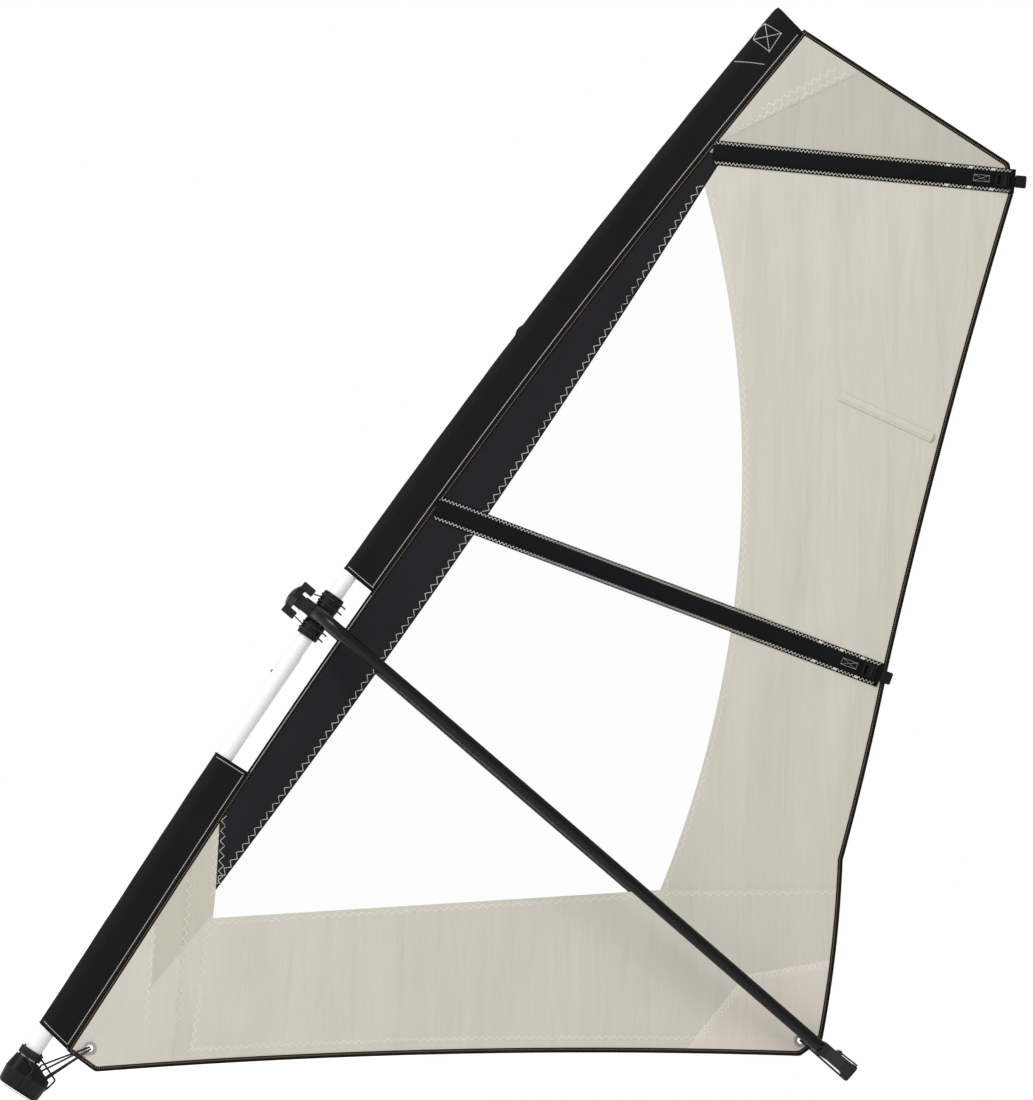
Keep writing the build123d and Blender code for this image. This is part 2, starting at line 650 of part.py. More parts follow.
def batten(line, back, depth, width, thickness, end_gap):
    """Flat sail batten lying in its pocket."""
    with BuildPart() as strip:
        start, end = 3 + BATTEN_GAP, line_length(line) - end_gap
        slab(line, back + (depth - thickness) / 2, thickness, start, end, width)
        fillet(strip.edges().filter_by(Axis.Y), width / 5)
    return strip


LONG_BATTENS = {"upper": UPPER_BATTEN, "lower": LOWER_BATTEN}
for place, line in LONG_BATTENS.items():
    finish(pocket(line, POCKET_BACK, POCKET_DEPTH, POCKET_WIDTH, BATTEN_WIDTH, BATTEN_THICKNESS),
           f"batten_pocket_{place}")
    finish(batten(line, POCKET_BACK, POCKET_DEPTH, BATTEN_WIDTH, BATTEN_THICKNESS, 1.0), f"batten_{place}")

SHORT_BACK = CLOTH / 2 + 0.1
SHORT_DEPTH = 3.4
finish(pocket(SHORT_BATTEN, SHORT_BACK, SHORT_DEPTH, SHORT_POCKET_WIDTH, SHORT_BATTEN_WIDTH, 1.6),
       "batten_pocket_short")
finish(batten(SHORT_BATTEN, SHORT_BACK, SHORT_DEPTH, SHORT_BATTEN_WIDTH, 1.6, 4.0), "batten_short")

POCKET_FACE = POCKET_BACK + POCKET_DEPTH
with BuildPart() as end_caps:
    for line in LONG_BATTENS.values():
        length = line_length(line)
        with BuildSketch(batten_plane(line, POCKET_BACK)):
            with Locations((length + 0.3 + CAP_LENGTH / 2, 0)):
                RectangleRounded(CAP_LENGTH, CAP_WIDTH, 3)
        extrude(amount=CAP_DEPTH)
        with BuildSketch(batten_plane(line, POCKET_FACE)):
            with Locations((length + 0.3 + CAP_LENGTH / 2, 0)):
                Rectangle(CAP_LENGTH + 1, STRAP_WIDTH + 1)
        extrude(amount=STRAP_THICKNESS + 0.3, mode=Mode.SUBTRACT)
finish(end_caps, "batten_end_caps")

with BuildPart() as straps:
    for line in LONG_BATTENS.values():
        length = line_length(line)
        slab(line, POCKET_FACE + 0.1, STRAP_THICKNESS, length - 96, length + CAP_LENGTH - 4, STRAP_WIDTH)
finish(straps, "tension_straps")

FRAME_BACK = POCKET_FACE + STRAP_THICKNESS + 0.3
RAIL = 4.0
BAR_PIN = 1.1
with BuildPart() as buckles:
    for line in LONG_BATTENS.values():
        middle = line_length(line) - BUCKLE_SETBACK
        with BuildSketch(batten_plane(line, FRAME_BACK)):
            with Locations((middle, 0)):
                RectangleRounded(BUCKLE_LENGTH, BUCKLE_WIDTH, 3)
            with Locations((middle - 6.5, 0)):
                Rectangle(8, BUCKLE_WIDTH - 2 * RAIL, mode=Mode.SUBTRACT)
            with Locations((middle + 6.5, 0)):
                Rectangle(11, BUCKLE_WIDTH - 2 * RAIL, mode=Mode.SUBTRACT)
        extrude(amount=BUCKLE_THICKNESS)
        pin_line = batten_plane(line, FRAME_BACK + BUCKLE_THICKNESS / 2)
        with BuildSketch(Plane(origin=pin_line.from_local_coords((middle + 9, 0, 0)), x_dir=pin_line.x_dir,
                               z_dir=pin_line.y_dir)):
            Circle(BAR_PIN + RUNNING_GAP)
        extrude(amount=BUCKLE_WIDTH / 2 - 1.2, both=True, mode=Mode.SUBTRACT)
finish(buckles, "buckle_frames")

for place, line in LONG_BATTENS.items():
    middle = line_length(line) - BUCKLE_SETBACK
    pin_line = batten_plane(line, FRAME_BACK + BUCKLE_THICKNESS / 2)
    with BuildPart() as buckle_bar:
        with BuildSketch(Plane(origin=pin_line.from_local_coords((middle + 9, 0, 0)), x_dir=pin_line.x_dir,
                               z_dir=pin_line.y_dir)):
            Circle(BAR_PIN)
        extrude(amount=BUCKLE_WIDTH / 2 - 1.6, both=True)
        with BuildSketch(Plane(origin=pin_line.from_local_coords((middle + 9, 0, 0)), x_dir=pin_line.x_dir,
                               z_dir=pin_line.y_dir)):
            Circle(1.9)
            with BuildSketch(mode=Mode.PRIVATE) as tab:
                Polygon((0, -1.9), (0, 1.9), (-7.5, 2.4), (-7.5, -0.4), align=None)
            add(tab.sketch)
        extrude(amount=BUCKLE_WIDTH / 2 - RAIL - 0.4, both=True)
    finish(buckle_bar, f"buckle_bar_{place}")

# ---------------------------------------------------------------- boom head on the mast
head_plane = mast_plane(HEAD_HEIGHT)
head_side = Plane(origin=head_plane.origin, x_dir=head_plane.x_dir, z_dir=(0, -1, 0))
with BuildPart() as saddle:
    with BuildSketch(head_plane.offset(-SADDLE_HEIGHT / 2)):
        Circle(CUFF_RADIUS)
    extrude(amount=SADDLE_HEIGHT)
    with BuildSketch(head_side):
        with Locations((-PIVOT_AHEAD, 0)):
            Circle(PIVOT_BOSS_RADIUS)
    extrude(amount=PIVOT_BOSS_REACH, both=True)
    with BuildSketch(head_side):
        with Locations((-PIVOT_AHEAD, 0)):
            Circle(PIVOT_PIN_RADIUS)
    extrude(amount=PIVOT_BOSS_REACH + CHEEK_THICKNESS - 1, both=True)
    with BuildSketch(head_plane.offset(-SADDLE_HEIGHT)):
        Circle(HEAD_BORE)
        with Locations((CUFF_RADIUS, 0)):
            Rectangle(CUFF_RADIUS, CUFF_SLIT)
    extrude(amount=2 * SADDLE_HEIGHT, mode=Mode.SUBTRACT)
finish(saddle, "mast_saddle")


def cuff(low):
    """Split cuff round the mast, with two grooves for its lashing."""
    with BuildPart() as ring:
        with BuildSketch(head_plane.offset(low)):
            Circle(CUFF_RADIUS)
        extrude(amount=CUFF_HEIGHT)
        chamfer(ring.edges().filter_by(GeomType.CIRCLE), 2.0)
        for level in (0.3, 0.7):
            with BuildSketch(head_plane.offset(low + CUFF_HEIGHT * level - ROPE / 2)):
                Circle(CUFF_RADIUS + 1)
                Circle(CUFF_RADIUS - CUFF_GROOVE, mode=Mode.SUBTRACT)
            extrude(amount=ROPE + 0.4, mode=Mode.SUBTRACT)
        with BuildSketch(head_plane.offset(low)):
            Circle(HEAD_BORE)
            with Locations((CUFF_RADIUS / 2 + 4, -CUFF_RADIUS + 4)):
                Rectangle(CUFF_SLIT, 2 * CUFF_RADIUS, rotation=30)
        extrude(amount=CUFF_HEIGHT, mode=Mode.SUBTRACT)
    return ring


CUFF_LOWS = {"upper": SADDLE_HEIGHT / 2 + CHEEK_GAP, "lower": -SADDLE_HEIGHT / 2 - CHEEK_GAP - CUFF_HEIGHT}
with BuildPart() as cuffs:
    for low in CUFF_LOWS.values():
        add(cuff(low).part)
finish(cuffs, "mast_cuffs")

LASHING_RADIUS = CUFF_RADIUS - CUFF_GROOVE + ROPE / 2 + 0.1
with BuildPart() as lashings:
    for low in CUFF_LOWS.values():
        for level in (0.3, 0.7):
            with Locations(head_plane.offset(low + CUFF_HEIGHT * level + 0.2)):
                Torus(LASHING_RADIUS, ROPE / 2)
        for level, side in ((0.3, 6), (0.7, -5)):
            stub = head_plane.from_local_coords((LASHING_RADIUS, side, low + CUFF_HEIGHT * level))
            with BuildSketch(Plane(origin=stub, z_dir=head_plane.x_dir)):
                Circle(ROPE / 2 - 0.4)
            extrude(amount=11)
finish(lashings, "cuff_lashings")

# ---------------------------------------------------------------- boom yoke, plate and nose
pivot_x, pivot_z = mast_point(HEAD_HEIGHT, -PIVOT_AHEAD)
drop = radians(BOOM_DROP)
boom_plan = Plane(origin=(pivot_x, 0, pivot_z), x_dir=(cos(drop), 0, -sin(drop)),
                  z_dir=(sin(drop), 0, cos(drop)))
boom_side = Plane(origin=boom_plan.origin, x_dir=boom_plan.x_dir, z_dir=(0, -1, 0))
CHEEK_INNER = PIVOT_BOSS_REACH + CHEEK_GAP
CHEEK_OUTER = CHEEK_INNER + CHEEK_THICKNESS

with BuildPart() as yoke:
    with BuildSketch(boom_side):
        Circle(CHEEK_RADIUS)
        with Locations((NECK_BACK, NECK_DROP / 2)):
            Rectangle(12, 2 * NECK_HALF_HEIGHT)
        make_hull()
    extrude(amount=CHEEK_OUTER, both=True)
    with BuildSketch(boom_side):
        with Locations(((NECK_FRONT + NECK_BACK) / 2, NECK_DROP)):
            Rectangle(NECK_BACK - NECK_FRONT, 2 * NECK_HALF_HEIGHT)
    extrude(amount=NECK_HALF_WIDTH, both=True)
    with BuildSketch(boom_plan.offset(-60)):
        with Locations((40 + NECK_BACK + 1, 0)):
            Rectangle(80, 2 * CHEEK_INNER)
    extrude(amount=120, mode=Mode.SUBTRACT)
    with BuildSketch(boom_side):
        Circle(PIVOT_PIN_RADIUS + RUNNING_GAP)
    extrude(amount=CHEEK_OUTER, both=True, mode=Mode.SUBTRACT)
finish(yoke, "boom_yoke")

sockets = []
for side in (-1, 1):
    with BuildPart() as socket:
        with BuildSketch(boom_side.offset(-side * CHEEK_OUTER)):
            Circle(SOCKET_RADIUS_OUT)
        extrude(amount=-side * (SOCKET_END - CHEEK_OUTER))
        with BuildSketch(boom_side.offset(-side * ARM_START)):
            Circle(ARM_OD / 2 + GRIP_GAP / 2)
        extrude(amount=-side * SOCKET_END, mode=Mode.SUBTRACT)
        chamfer(socket.faces().sort_by(Axis.Y)[0 if side < 0 else -1].outer_wire().edges(), 1.2)
    sockets.append(socket.part)
with BuildPart() as socket_pair:
    add(sockets)
finish(socket_pair, "boom_sockets")

with BuildPart() as front_plate:
    with BuildSketch(boom_side):
        with BuildLine():
            Polyline((PLATE_FRONT, NECK_DROP - EAR_OUTER), (PLATE_FRONT, NECK_DROP + EAR_OUTER),
                     (EAR_BACK, NECK_DROP + EAR_OUTER), (EAR_BACK, NECK_DROP + EAR_INNER_EDGE),
                     (NECK_FRONT, NECK_DROP + EAR_INNER_EDGE), (NECK_FRONT, NECK_DROP - EAR_INNER_EDGE),
                     (EAR_BACK, NECK_DROP - EAR_INNER_EDGE), (EAR_BACK, NECK_DROP - EAR_OUTER),
                     close=True)
        make_face()
    extrude(amount=PLATE_HALF_WIDTH, both=True)
    fillet(front_plate.edges().filter_by(Axis.Y), 2.5)
    nose_seat = Plane(origin=boom_plan.from_local_coords((NECK_FRONT, 0, NECK_DROP)), z_dir=-boom_plan.x_dir)
    with BuildSketch(nose_seat):
        Circle(NOSE_RADIUS + 1)
    extrude(amount=NECK_FRONT - PLATE_FRONT)
finish(front_plate, "boom_front_plate")

NOSE_SPHERE = (NOSE_RADIUS**2 + (NOSE_BULGE - 1.5)**2) / (2 * (NOSE_BULGE - 1.5))
with BuildPart() as nose:
    Cylinder(NOSE_RADIUS, NOSE_BULGE, align=(Align.CENTER, Align.CENTER, Align.MIN))
    with Locations((0, 0, NOSE_BULGE - NOSE_SPHERE)):
        Sphere(NOSE_SPHERE, mode=Mode.INTERSECT)
nose_face = Plane(origin=boom_plan.from_local_coords((PLATE_FRONT, 0, NECK_DROP)), z_dir=-boom_plan.x_dir)
with BuildPart() as nose_cover:
    add(nose_face.location * nose.part)
finish(nose_cover, "boom_nose_cover")

with BuildPart() as ties:
    for sign, low in ((1, CUFF_LOWS["upper"]), (-1, CUFF_LOWS["lower"])):
        for side in (-9.0, 9.0):
            level = NECK_DROP + sign * (EAR_INNER_EDGE + EAR_OUTER) / 2
            start = boom_plan.from_local_coords((EAR_BACK + 3 * ROPE_GAP, side, level))
            reach = -(CUFF_RADIUS**2 - side**2) ** 0.5 - ROPE_GAP - 0.5
            end = head_plane.from_local_coords((reach, side, low + CUFF_HEIGHT / 2))
            with BuildSketch(Plane(origin=start, z_dir=end - start)):
                Circle(THIN_ROPE / 2)
            extrude(amount=(end - start).length)
finish(ties, "head_ties")

# ---------------------------------------------------------------- wishbone arms
def placed_on_boom(piece):
    """A piece drawn in the boom's own plan, moved to the boom's place."""
    with BuildPart() as placed:
        add(boom_plan.location * piece.part)
    return placed


BEND_START_Y = SOCKET_END + CHEEK_GAP
arm_ends = {}
for side, place in ((-1, "near"), (1, "far")):
    with BuildLine() as bends:
        front = TangentArc((0, side * BEND_START_Y), (FRONT_BEND_END[0], side * FRONT_BEND_END[1]),
                           tangent=(0, side))
        back = TangentArc(front @ 1, (BOOM_LENGTH, side * TAIL_HALF_SPACING), tangent=front % 1)
    with BuildLine() as root:
        Line((0, side * ARM_START), (0, side * BEND_START_Y))
    arm_ends[side] = (back @ 1, back % 1)
    with BuildPart() as arm:
        for stretch in (root, bends):
            with BuildSketch(Plane(origin=stretch.wires()[0] @ 0, z_dir=stretch.wires()[0] % 0)):
                Circle(ARM_OD / 2)
                Circle(ARM_OD / 2 - ARM_WALL, mode=Mode.SUBTRACT)
            sweep(path=stretch.wires()[0])
    finish(placed_on_boom(arm), f"boom_arm_{place}")
    with BuildPart() as grip:
        with BuildSketch(Plane(origin=bends.wires()[0] @ 0, z_dir=bends.wires()[0] % 0)):
            Circle(GRIP_OD / 2)
            Circle(ARM_OD / 2 + GRIP_GAP, mode=Mode.SUBTRACT)
        sweep(path=bends.wires()[0])
    finish(placed_on_boom(grip), f"boom_grip_{place}")

# ---------------------------------------------------------------- tail fitting
with BuildPart() as tail:
    with BuildSketch(Plane.XZ):
        with BuildSketch(mode=Mode.PRIVATE) as profile:
            Polygon((-TAIL_WRAP, -TAIL_HALF_HEIGHT), (-TAIL_WRAP, TAIL_HALF_HEIGHT), (20, TAIL_HALF_HEIGHT),
                    (TAIL_SHEAVE_X - 14, TAIL_SHEAVE_Z), (TAIL_SHEAVE_X - 14, -TAIL_BELLY), (20, -TAIL_BELLY),
                    align=None)
            with Locations((TAIL_SHEAVE_X, TAIL_SHEAVE_Z), (TAIL_SHEAVE_X, -TAIL_SHEAVE_Z)):
                Circle(TAIL_LENGTH - TAIL_SHEAVE_X)
            Polygon((20, TAIL_HALF_HEIGHT), (TAIL_SHEAVE_X, TAIL_SHEAVE_Z + TAIL_LENGTH - TAIL_SHEAVE_X),
                    (TAIL_SHEAVE_X + 6, 0), (TAIL_SHEAVE_X - 8, -TAIL_SHEAVE_Z - 7),
                    (TAIL_SHEAVE_X - 16, -TAIL_BELLY), (20, -TAIL_BELLY), align=None)
            with Locations(LEVER_HINGE):
                Circle(5.5)
            Polygon((LEVER_HINGE[0] - 12, TAIL_HALF_HEIGHT - 2), (LEVER_HINGE[0] - 5, LEVER_HINGE[1]),
                    (LEVER_HINGE[0] + 5, LEVER_HINGE[1]), (LEVER_HINGE[0] + 12, TAIL_HALF_HEIGHT - 2),
                    align=None)
        add(profile.sketch)
    extrude(amount=TAIL_HALF_WIDTH, both=True)
    with BuildSketch(Plane.XY.offset(-40)):
        Polygon((-TAIL_WRAP - 1, -TAIL_HALF_WIDTH), (8, -TAIL_HALF_WIDTH), (52, -22), (TAIL_LENGTH + 4, -20),
                (TAIL_LENGTH + 4, 20), (52, 22), (8, TAIL_HALF_WIDTH), (-TAIL_WRAP - 1, TAIL_HALF_WIDTH),
                align=None)
    extrude(amount=80, mode=Mode.INTERSECT)
    for end, heading in arm_ends.values():
        arm_end = Plane(origin=end - Vector(BOOM_LENGTH, 0, 0), z_dir=heading)
        with BuildSketch(arm_end.offset(CHEEK_GAP)):
            Circle(GRIP_OD / 2 + CHEEK_GAP)
        extrude(amount=-40, mode=Mode.SUBTRACT)
        with BuildSketch(arm_end.offset(CHEEK_GAP)):
            Circle(ARM_OD / 2 - ARM_WALL - SLIDE_GAP)
        extrude(amount=-SPIGOT_LENGTH)
    # one slot for the sheaves, and above it one for the lever
    with BuildSketch(Plane.XZ):
        Polygon((TAIL_SHEAVE_X - 13, -40), (TAIL_LENGTH + 8, -40), (TAIL_LENGTH + 8, 40),
                (TAIL_SHEAVE_X - 13, 40), align=None)
        Polygon((LEVER_HINGE[0] - 5, 8), (TAIL_LENGTH + 8, 8), (TAIL_LENGTH + 8, 40), (LEVER_HINGE[0] - 5, 40),
                align=None)
    extrude(amount=TAIL_SLOT_WIDTH / 2, both=True, mode=Mode.SUBTRACT)
    with BuildSketch(Plane.XZ):
        with Locations((TAIL_SHEAVE_X, TAIL_SHEAVE_Z), (TAIL_SHEAVE_X, -TAIL_SHEAVE_Z)):
            Circle(PIN_RADIUS)
        with Locations(LEVER_HINGE):
            Circle(PIN_RADIUS + RUNNING_GAP)
    extrude(amount=TAIL_PIN_REACH, both=True, mode=Mode.SUBTRACT)
    # channel under the body for the outhaul
    with BuildSketch(Plane.XZ):
        Polygon((-TAIL_WRAP - 1, -40), (TAIL_SHEAVE_X, -40), (TAIL_SHEAVE_X, -TAIL_BELLY),
                (-TAIL_WRAP - 1, -TAIL_BELLY), align=None)
    extrude(amount=7.0, both=True, mode=Mode.SUBTRACT)
    # blind hole that the outhaul's fixed end is knotted in
    with BuildSketch(Plane.YZ.offset(-TAIL_WRAP - 1)):
        with Locations(TIE_HOLE):
            Circle(ROPE / 2 + ROPE_GAP)
    extrude(amount=TAIL_WRAP + 13, mode=Mode.SUBTRACT)


def placed_on_tail(piece):
    """A piece drawn from the tail fitting's face, moved to the boom's place."""
    with BuildPart() as placed:
        add(boom_plan.location * Location((BOOM_LENGTH, 0, 0)) * piece.part)
    return placed


finish(placed_on_tail(tail), "boom_tail_fitting")

for place, level in (("upper", TAIL_SHEAVE_Z), ("lower", -TAIL_SHEAVE_Z)):
    tail_sheave = sheave((TAIL_SHEAVE_X, level), TAIL_SHEAVE_RADIUS, SHEAVE_WIDTH, PIN_RADIUS + RUNNING_GAP)
    finish(placed_on_tail(tail_sheave), f"tail_sheave_{place}")

with BuildPart() as tail_pins:
    with BuildSketch(Plane.XZ):
        with Locations((TAIL_SHEAVE_X, TAIL_SHEAVE_Z), (TAIL_SHEAVE_X, -TAIL_SHEAVE_Z)):
            Circle(PIN_RADIUS)
    extrude(amount=TAIL_PIN_REACH, both=True)
finish(placed_on_tail(tail_pins), "tail_sheave_pins")

lever_x, lever_z = LEVER_HINGE
with BuildPart() as lever:
    with BuildSketch(Plane.XZ):
        Circle(PIN_RADIUS)
    extrude(amount=TAIL_PIN_REACH - 0.5, both=True)
    with BuildSketch(Plane.XZ):
        with BuildSketch(mode=Mode.PRIVATE) as arm_profile:
            Circle(LEVER_THICKNESS)
            Polygon((0, 0), (LEVER_LENGTH - 3, 2.4), (LEVER_LENGTH, 4.0),
                    (LEVER_LENGTH - 3, LEVER_THICKNESS + 2.4), (0, LEVER_THICKNESS), align=None)
        add(arm_profile.sketch)
    extrude(amount=TAIL_SLOT_WIDTH / 2 - CHEEK_GAP, both=True)
with BuildPart() as lever_up:
    add(lever.part.moved(Location((lever_x, 0, lever_z))))
finish(placed_on_tail(lever_up), "outhaul_lever")

# ---------------------------------------------------------------- ropes
EYELET_TURN = EYELET_THICKNESS / 2 + ROPE_GAP + ROPE / 2 + 0.3


def rope_run(points, radii, name):
    """Round rope along straight runs joined by bends of the given radii."""
    with BuildPart() as rope:
        with BuildLine():
            run = FilletPolyline(*points, radius=radii)
        with BuildSketch(Plane(origin=run @ 0, z_dir=run % 0)):
            Circle(ROPE / 2)
        sweep(path=run)
    print(name, "bend radii", radii, "length", round(run.length, 1))
    return rope


clew = boom_plan.to_local_coords(Vector(CLEW_EYELET[0], 0, CLEW_EYELET[1])) - Vector(BOOM_LENGTH, 0, 0)
wrap_x = TAIL_SHEAVE_X + TAIL_SHEAVE_RADIUS
wrap_z = TAIL_SHEAVE_Z + TAIL_SHEAVE_RADIUS
cleated = (LEVER_HINGE[0] + 8, 0, 11.2)
rise = atan2(wrap_z - cleated[2], TAIL_SHEAVE_X - cleated[0]) * 1.1
outhaul = rope_run([cleated, (wrap_x, 0, wrap_z + TAIL_SHEAVE_RADIUS * rise), (wrap_x, 0, -wrap_z - ROPE_GAP),
                    (clew.X, -EYELET_TURN, clew.Z), (clew.X, EYELET_TURN, clew.Z),
                    (-TAIL_WRAP - 8, TIE_HOLE[0], TIE_HOLE[1]), (10, TIE_HOLE[0], TIE_HOLE[1])],
                   [TAIL_SHEAVE_RADIUS - 0.3, TAIL_SHEAVE_RADIUS - 0.1, EYELET_TURN - 0.1, EYELET_TURN - 0.1,
                    12.0],
                   "outhaul_line")
finish(placed_on_tail(outhaul), "outhaul_line")

# ---------------------------------------------------------------- foot cleat and downhaul
cleat_x, cleat_z = FOOT_CLEAT
CLEAT_FACE = 36.0
CLEAT_FLOOR = 31.6
CLEAT_LENGTH = 40.0
CLEAT_WIDTH = 14.0
with BuildPart() as cleat:
    with Locations((cleat_x, -(CLEAT_FACE + 22) / 2, cleat_z)):
        Box(CLEAT_WIDTH, CLEAT_FACE - 22, CLEAT_LENGTH)
    fillet(cleat.edges().filter_by(Axis.Z).sort_by(Axis.Y)[:2], 2.5)
    with Locations((cleat_x, -(CLEAT_FLOOR + CLEAT_FACE + 4) / 2, cleat_z)):
        Box(ROPE + 2 * ROPE_GAP, CLEAT_FACE + 4 - CLEAT_FLOOR, CLEAT_LENGTH, mode=Mode.SUBTRACT)
    add(foot_cup.part, mode=Mode.SUBTRACT)
finish(cleat, "foot_cleat")

tack = Vector(TACK_EYELET[0], 0, TACK_EYELET[1])
first, second = (Vector(x, 0, z) for x, z in FOOT_SHEAVES)
pull = (first - tack).normalized()
across = Vector(-pull.Z, 0, pull.X)         # aft and down, square to the pull
fore_pass = tack - across * (ROPE / 2 + 0.4)
aft_pass = tack + across * (ROPE / 2 + 0.4)
near, far = Vector(0, -EYELET_TURN, 0), Vector(0, EYELET_TURN, 0)
reach_two = second - aft_pass
angle_two = atan2(reach_two.Z, reach_two.X) - asin(SHEAVE_RADIUS / reach_two.length)
drop_two = Vector(cos(angle_two), 0, sin(angle_two))
across_two = Vector(-drop_two.Z, 0, drop_two.X)
bottom_two = second + drop_two * SHEAVE_RADIUS

# the tail is lashed round the ears, then runs down into the cleat
LASH_RADIUS = COLLAR_RADIUS + ROPE / 2 + 2 * ROPE_GAP
LASH_PITCH = ROPE + ROPE_GAP
LASH_FOOT = FOOT_HEIGHT + ROPE / 2 + 3.3
LASH_FROM = 68.2            # degrees round the mast where the line joins the lashing
LASH_TO = 255.0             # and where it leaves
LASH_TURNS = 4
lash_top = LASH_FOOT + (LASH_TURNS - 1) * LASH_PITCH


def lash_point(angle, height):
    """Point just outside the lashing, a number of degrees round the mast."""
    out = LASH_RADIUS + LASH_PITCH
    return Vector(out * cos(radians(angle)), out * sin(radians(angle)), height)


strands = rope_run([(*FOOT_WELL[:2], FOOT_WELL[2] + 2), (*FOOT_WELL[:2], 76), fore_pass + near, fore_pass + far,
                    first + (pull - across) * SHEAVE_RADIUS, first + (pull + across) * SHEAVE_RADIUS,
                    aft_pass + near, aft_pass + far,
                    bottom_two - across_two * SHEAVE_RADIUS, bottom_two + across_two * SHEAVE_RADIUS,
                    second + across_two * SHEAVE_RADIUS - drop_two * 7, (FOOT_TAIL_X + 32, 6, 64),
                    lash_point(LASH_FROM, lash_top)],
                   [6.0, EYELET_TURN - 0.1, EYELET_TURN - 0.1, SHEAVE_RADIUS - 0.5, SHEAVE_RADIUS - 0.5,
                    EYELET_TURN - 0.1, EYELET_TURN - 0.1, SHEAVE_RADIUS - 0.5, SHEAVE_RADIUS - 0.5, 14.0, 8.0],
                   "downhaul_line strands")
cleat_rope = -(CLEAT_FLOOR + ROPE_GAP + ROPE / 2)
rope_tail = rope_run([lash_point(LASH_TO, LASH_FOOT), (cleat_x, cleat_rope, 59),
                      (cleat_x, cleat_rope, cleat_z - CLEAT_LENGTH / 2 + 1)], [9.0], "downhaul_line tail")
with BuildPart() as downhaul:
    add(strands.part)
    add(rope_tail.part)
    for turn in range(LASH_TURNS):
        with Locations((0, 0, LASH_FOOT + turn * LASH_PITCH)):
            Torus(LASH_RADIUS, ROPE / 2)
finish(downhaul, "downhaul_line")
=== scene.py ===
# %% [markdown]
# # A windsurf rig, dressed in Blender
# The CAD model gives this rig's tubes, fittings, pins and joints. Everything sewn or braided on the
# real rig (sail panels, sleeves, bindings, webbing, lines) is made again here as thin surfaces, because
# a solid block of CAD can't show cloth. Each piece lies exactly where its CAD node lies.

import bpy
import numpy as np
from mathutils import Matrix, Vector, geometry


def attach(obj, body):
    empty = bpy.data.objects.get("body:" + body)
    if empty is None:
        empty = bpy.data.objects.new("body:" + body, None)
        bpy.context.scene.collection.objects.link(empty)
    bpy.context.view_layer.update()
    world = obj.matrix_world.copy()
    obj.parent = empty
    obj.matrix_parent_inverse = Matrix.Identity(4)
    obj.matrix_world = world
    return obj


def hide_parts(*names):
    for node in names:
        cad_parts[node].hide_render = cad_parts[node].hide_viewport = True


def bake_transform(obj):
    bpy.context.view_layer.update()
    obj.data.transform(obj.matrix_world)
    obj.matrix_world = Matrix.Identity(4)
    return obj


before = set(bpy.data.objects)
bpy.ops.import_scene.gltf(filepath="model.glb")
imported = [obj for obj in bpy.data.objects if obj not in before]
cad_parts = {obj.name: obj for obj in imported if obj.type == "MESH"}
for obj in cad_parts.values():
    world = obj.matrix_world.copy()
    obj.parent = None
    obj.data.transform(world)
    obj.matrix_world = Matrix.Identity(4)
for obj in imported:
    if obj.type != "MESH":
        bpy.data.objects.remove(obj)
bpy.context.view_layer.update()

# %% [markdown]
# ## Colours and shader nodes
# Real finishes are measured as sRGB hex values, but Cycles works in linear light, so one function
# turns the one into the other. One more adds a shader node with its settings and links: links are
# given by input name, and each is either an output socket or a plain value.

# %% Colour and node helpers
MM = 0.001


def linear(code):
    """Linear RGBA of an sRGB hex colour: c / 12.92 below 0.04045, ((c + 0.055) / 1.055) ** 2.4 above."""
    c = np.array([int(code[i:i + 2], 16) for i in (0, 2, 4)]) / 255
    c = np.where(c <= 0.04045, c / 12.92, ((c + 0.055) / 1.055) ** 2.4)
    return (*c.tolist(), 1.0)


def add_node(tree, kind, inputs=None, **settings):
    """One shader node; inputs maps a socket's name or number to a value or to another node's output."""
    node = tree.nodes.new("ShaderNode" + kind)
    for key, value in settings.items():
        setattr(node, key, value)
    for key, value in (inputs or {}).items():
        socket = node.inputs[key]
        if isinstance(value, bpy.types.NodeSocket):
            tree.links.new(value, socket)
        else:
            socket.default_value = value
    return node


def blend_colours(tree, amount, first, second):
    """The colour between two hex colours, or between a node's output and one, by an amount from 0 to 1."""
    first = linear(first) if isinstance(first, str) else first
    return add_node(tree, "MixRGB", {0: amount, 1: first, 2: linear(second)}).outputs[0]


def new_material(name):
    """An empty material with its output; returns it, its tree and the function that joins a surface to it."""
    material = bpy.data.materials.new(name)
    material.use_nodes = True
    tree = material.node_tree
    tree.nodes.clear()
    output = tree.nodes.new("ShaderNodeOutputMaterial")
    return material, tree, lambda shader: tree.links.new(shader.outputs[0], output.inputs["Surface"])


# %% [markdown]
# ## Woven and braided finishes
# Sailcloth is plain-woven polyester, pressed smooth, so its threads barely show and its slow blotches
# come from tension and handling. The sleeve is a softer, coarser weave. Webbing shows ribs across its
# width. Every weave is two sine bands at right angles on Object coordinates: the rig's own X and Z.

# %% Woven cloth material
THREAD_SCALE = 0.157  # wave scale times thread width in metres: a light and a dark thread per wave
FOLD_TURN, FOLD_SIZE = (0.0, -0.575, 0.0), (0.045, 0.3, 0.34)


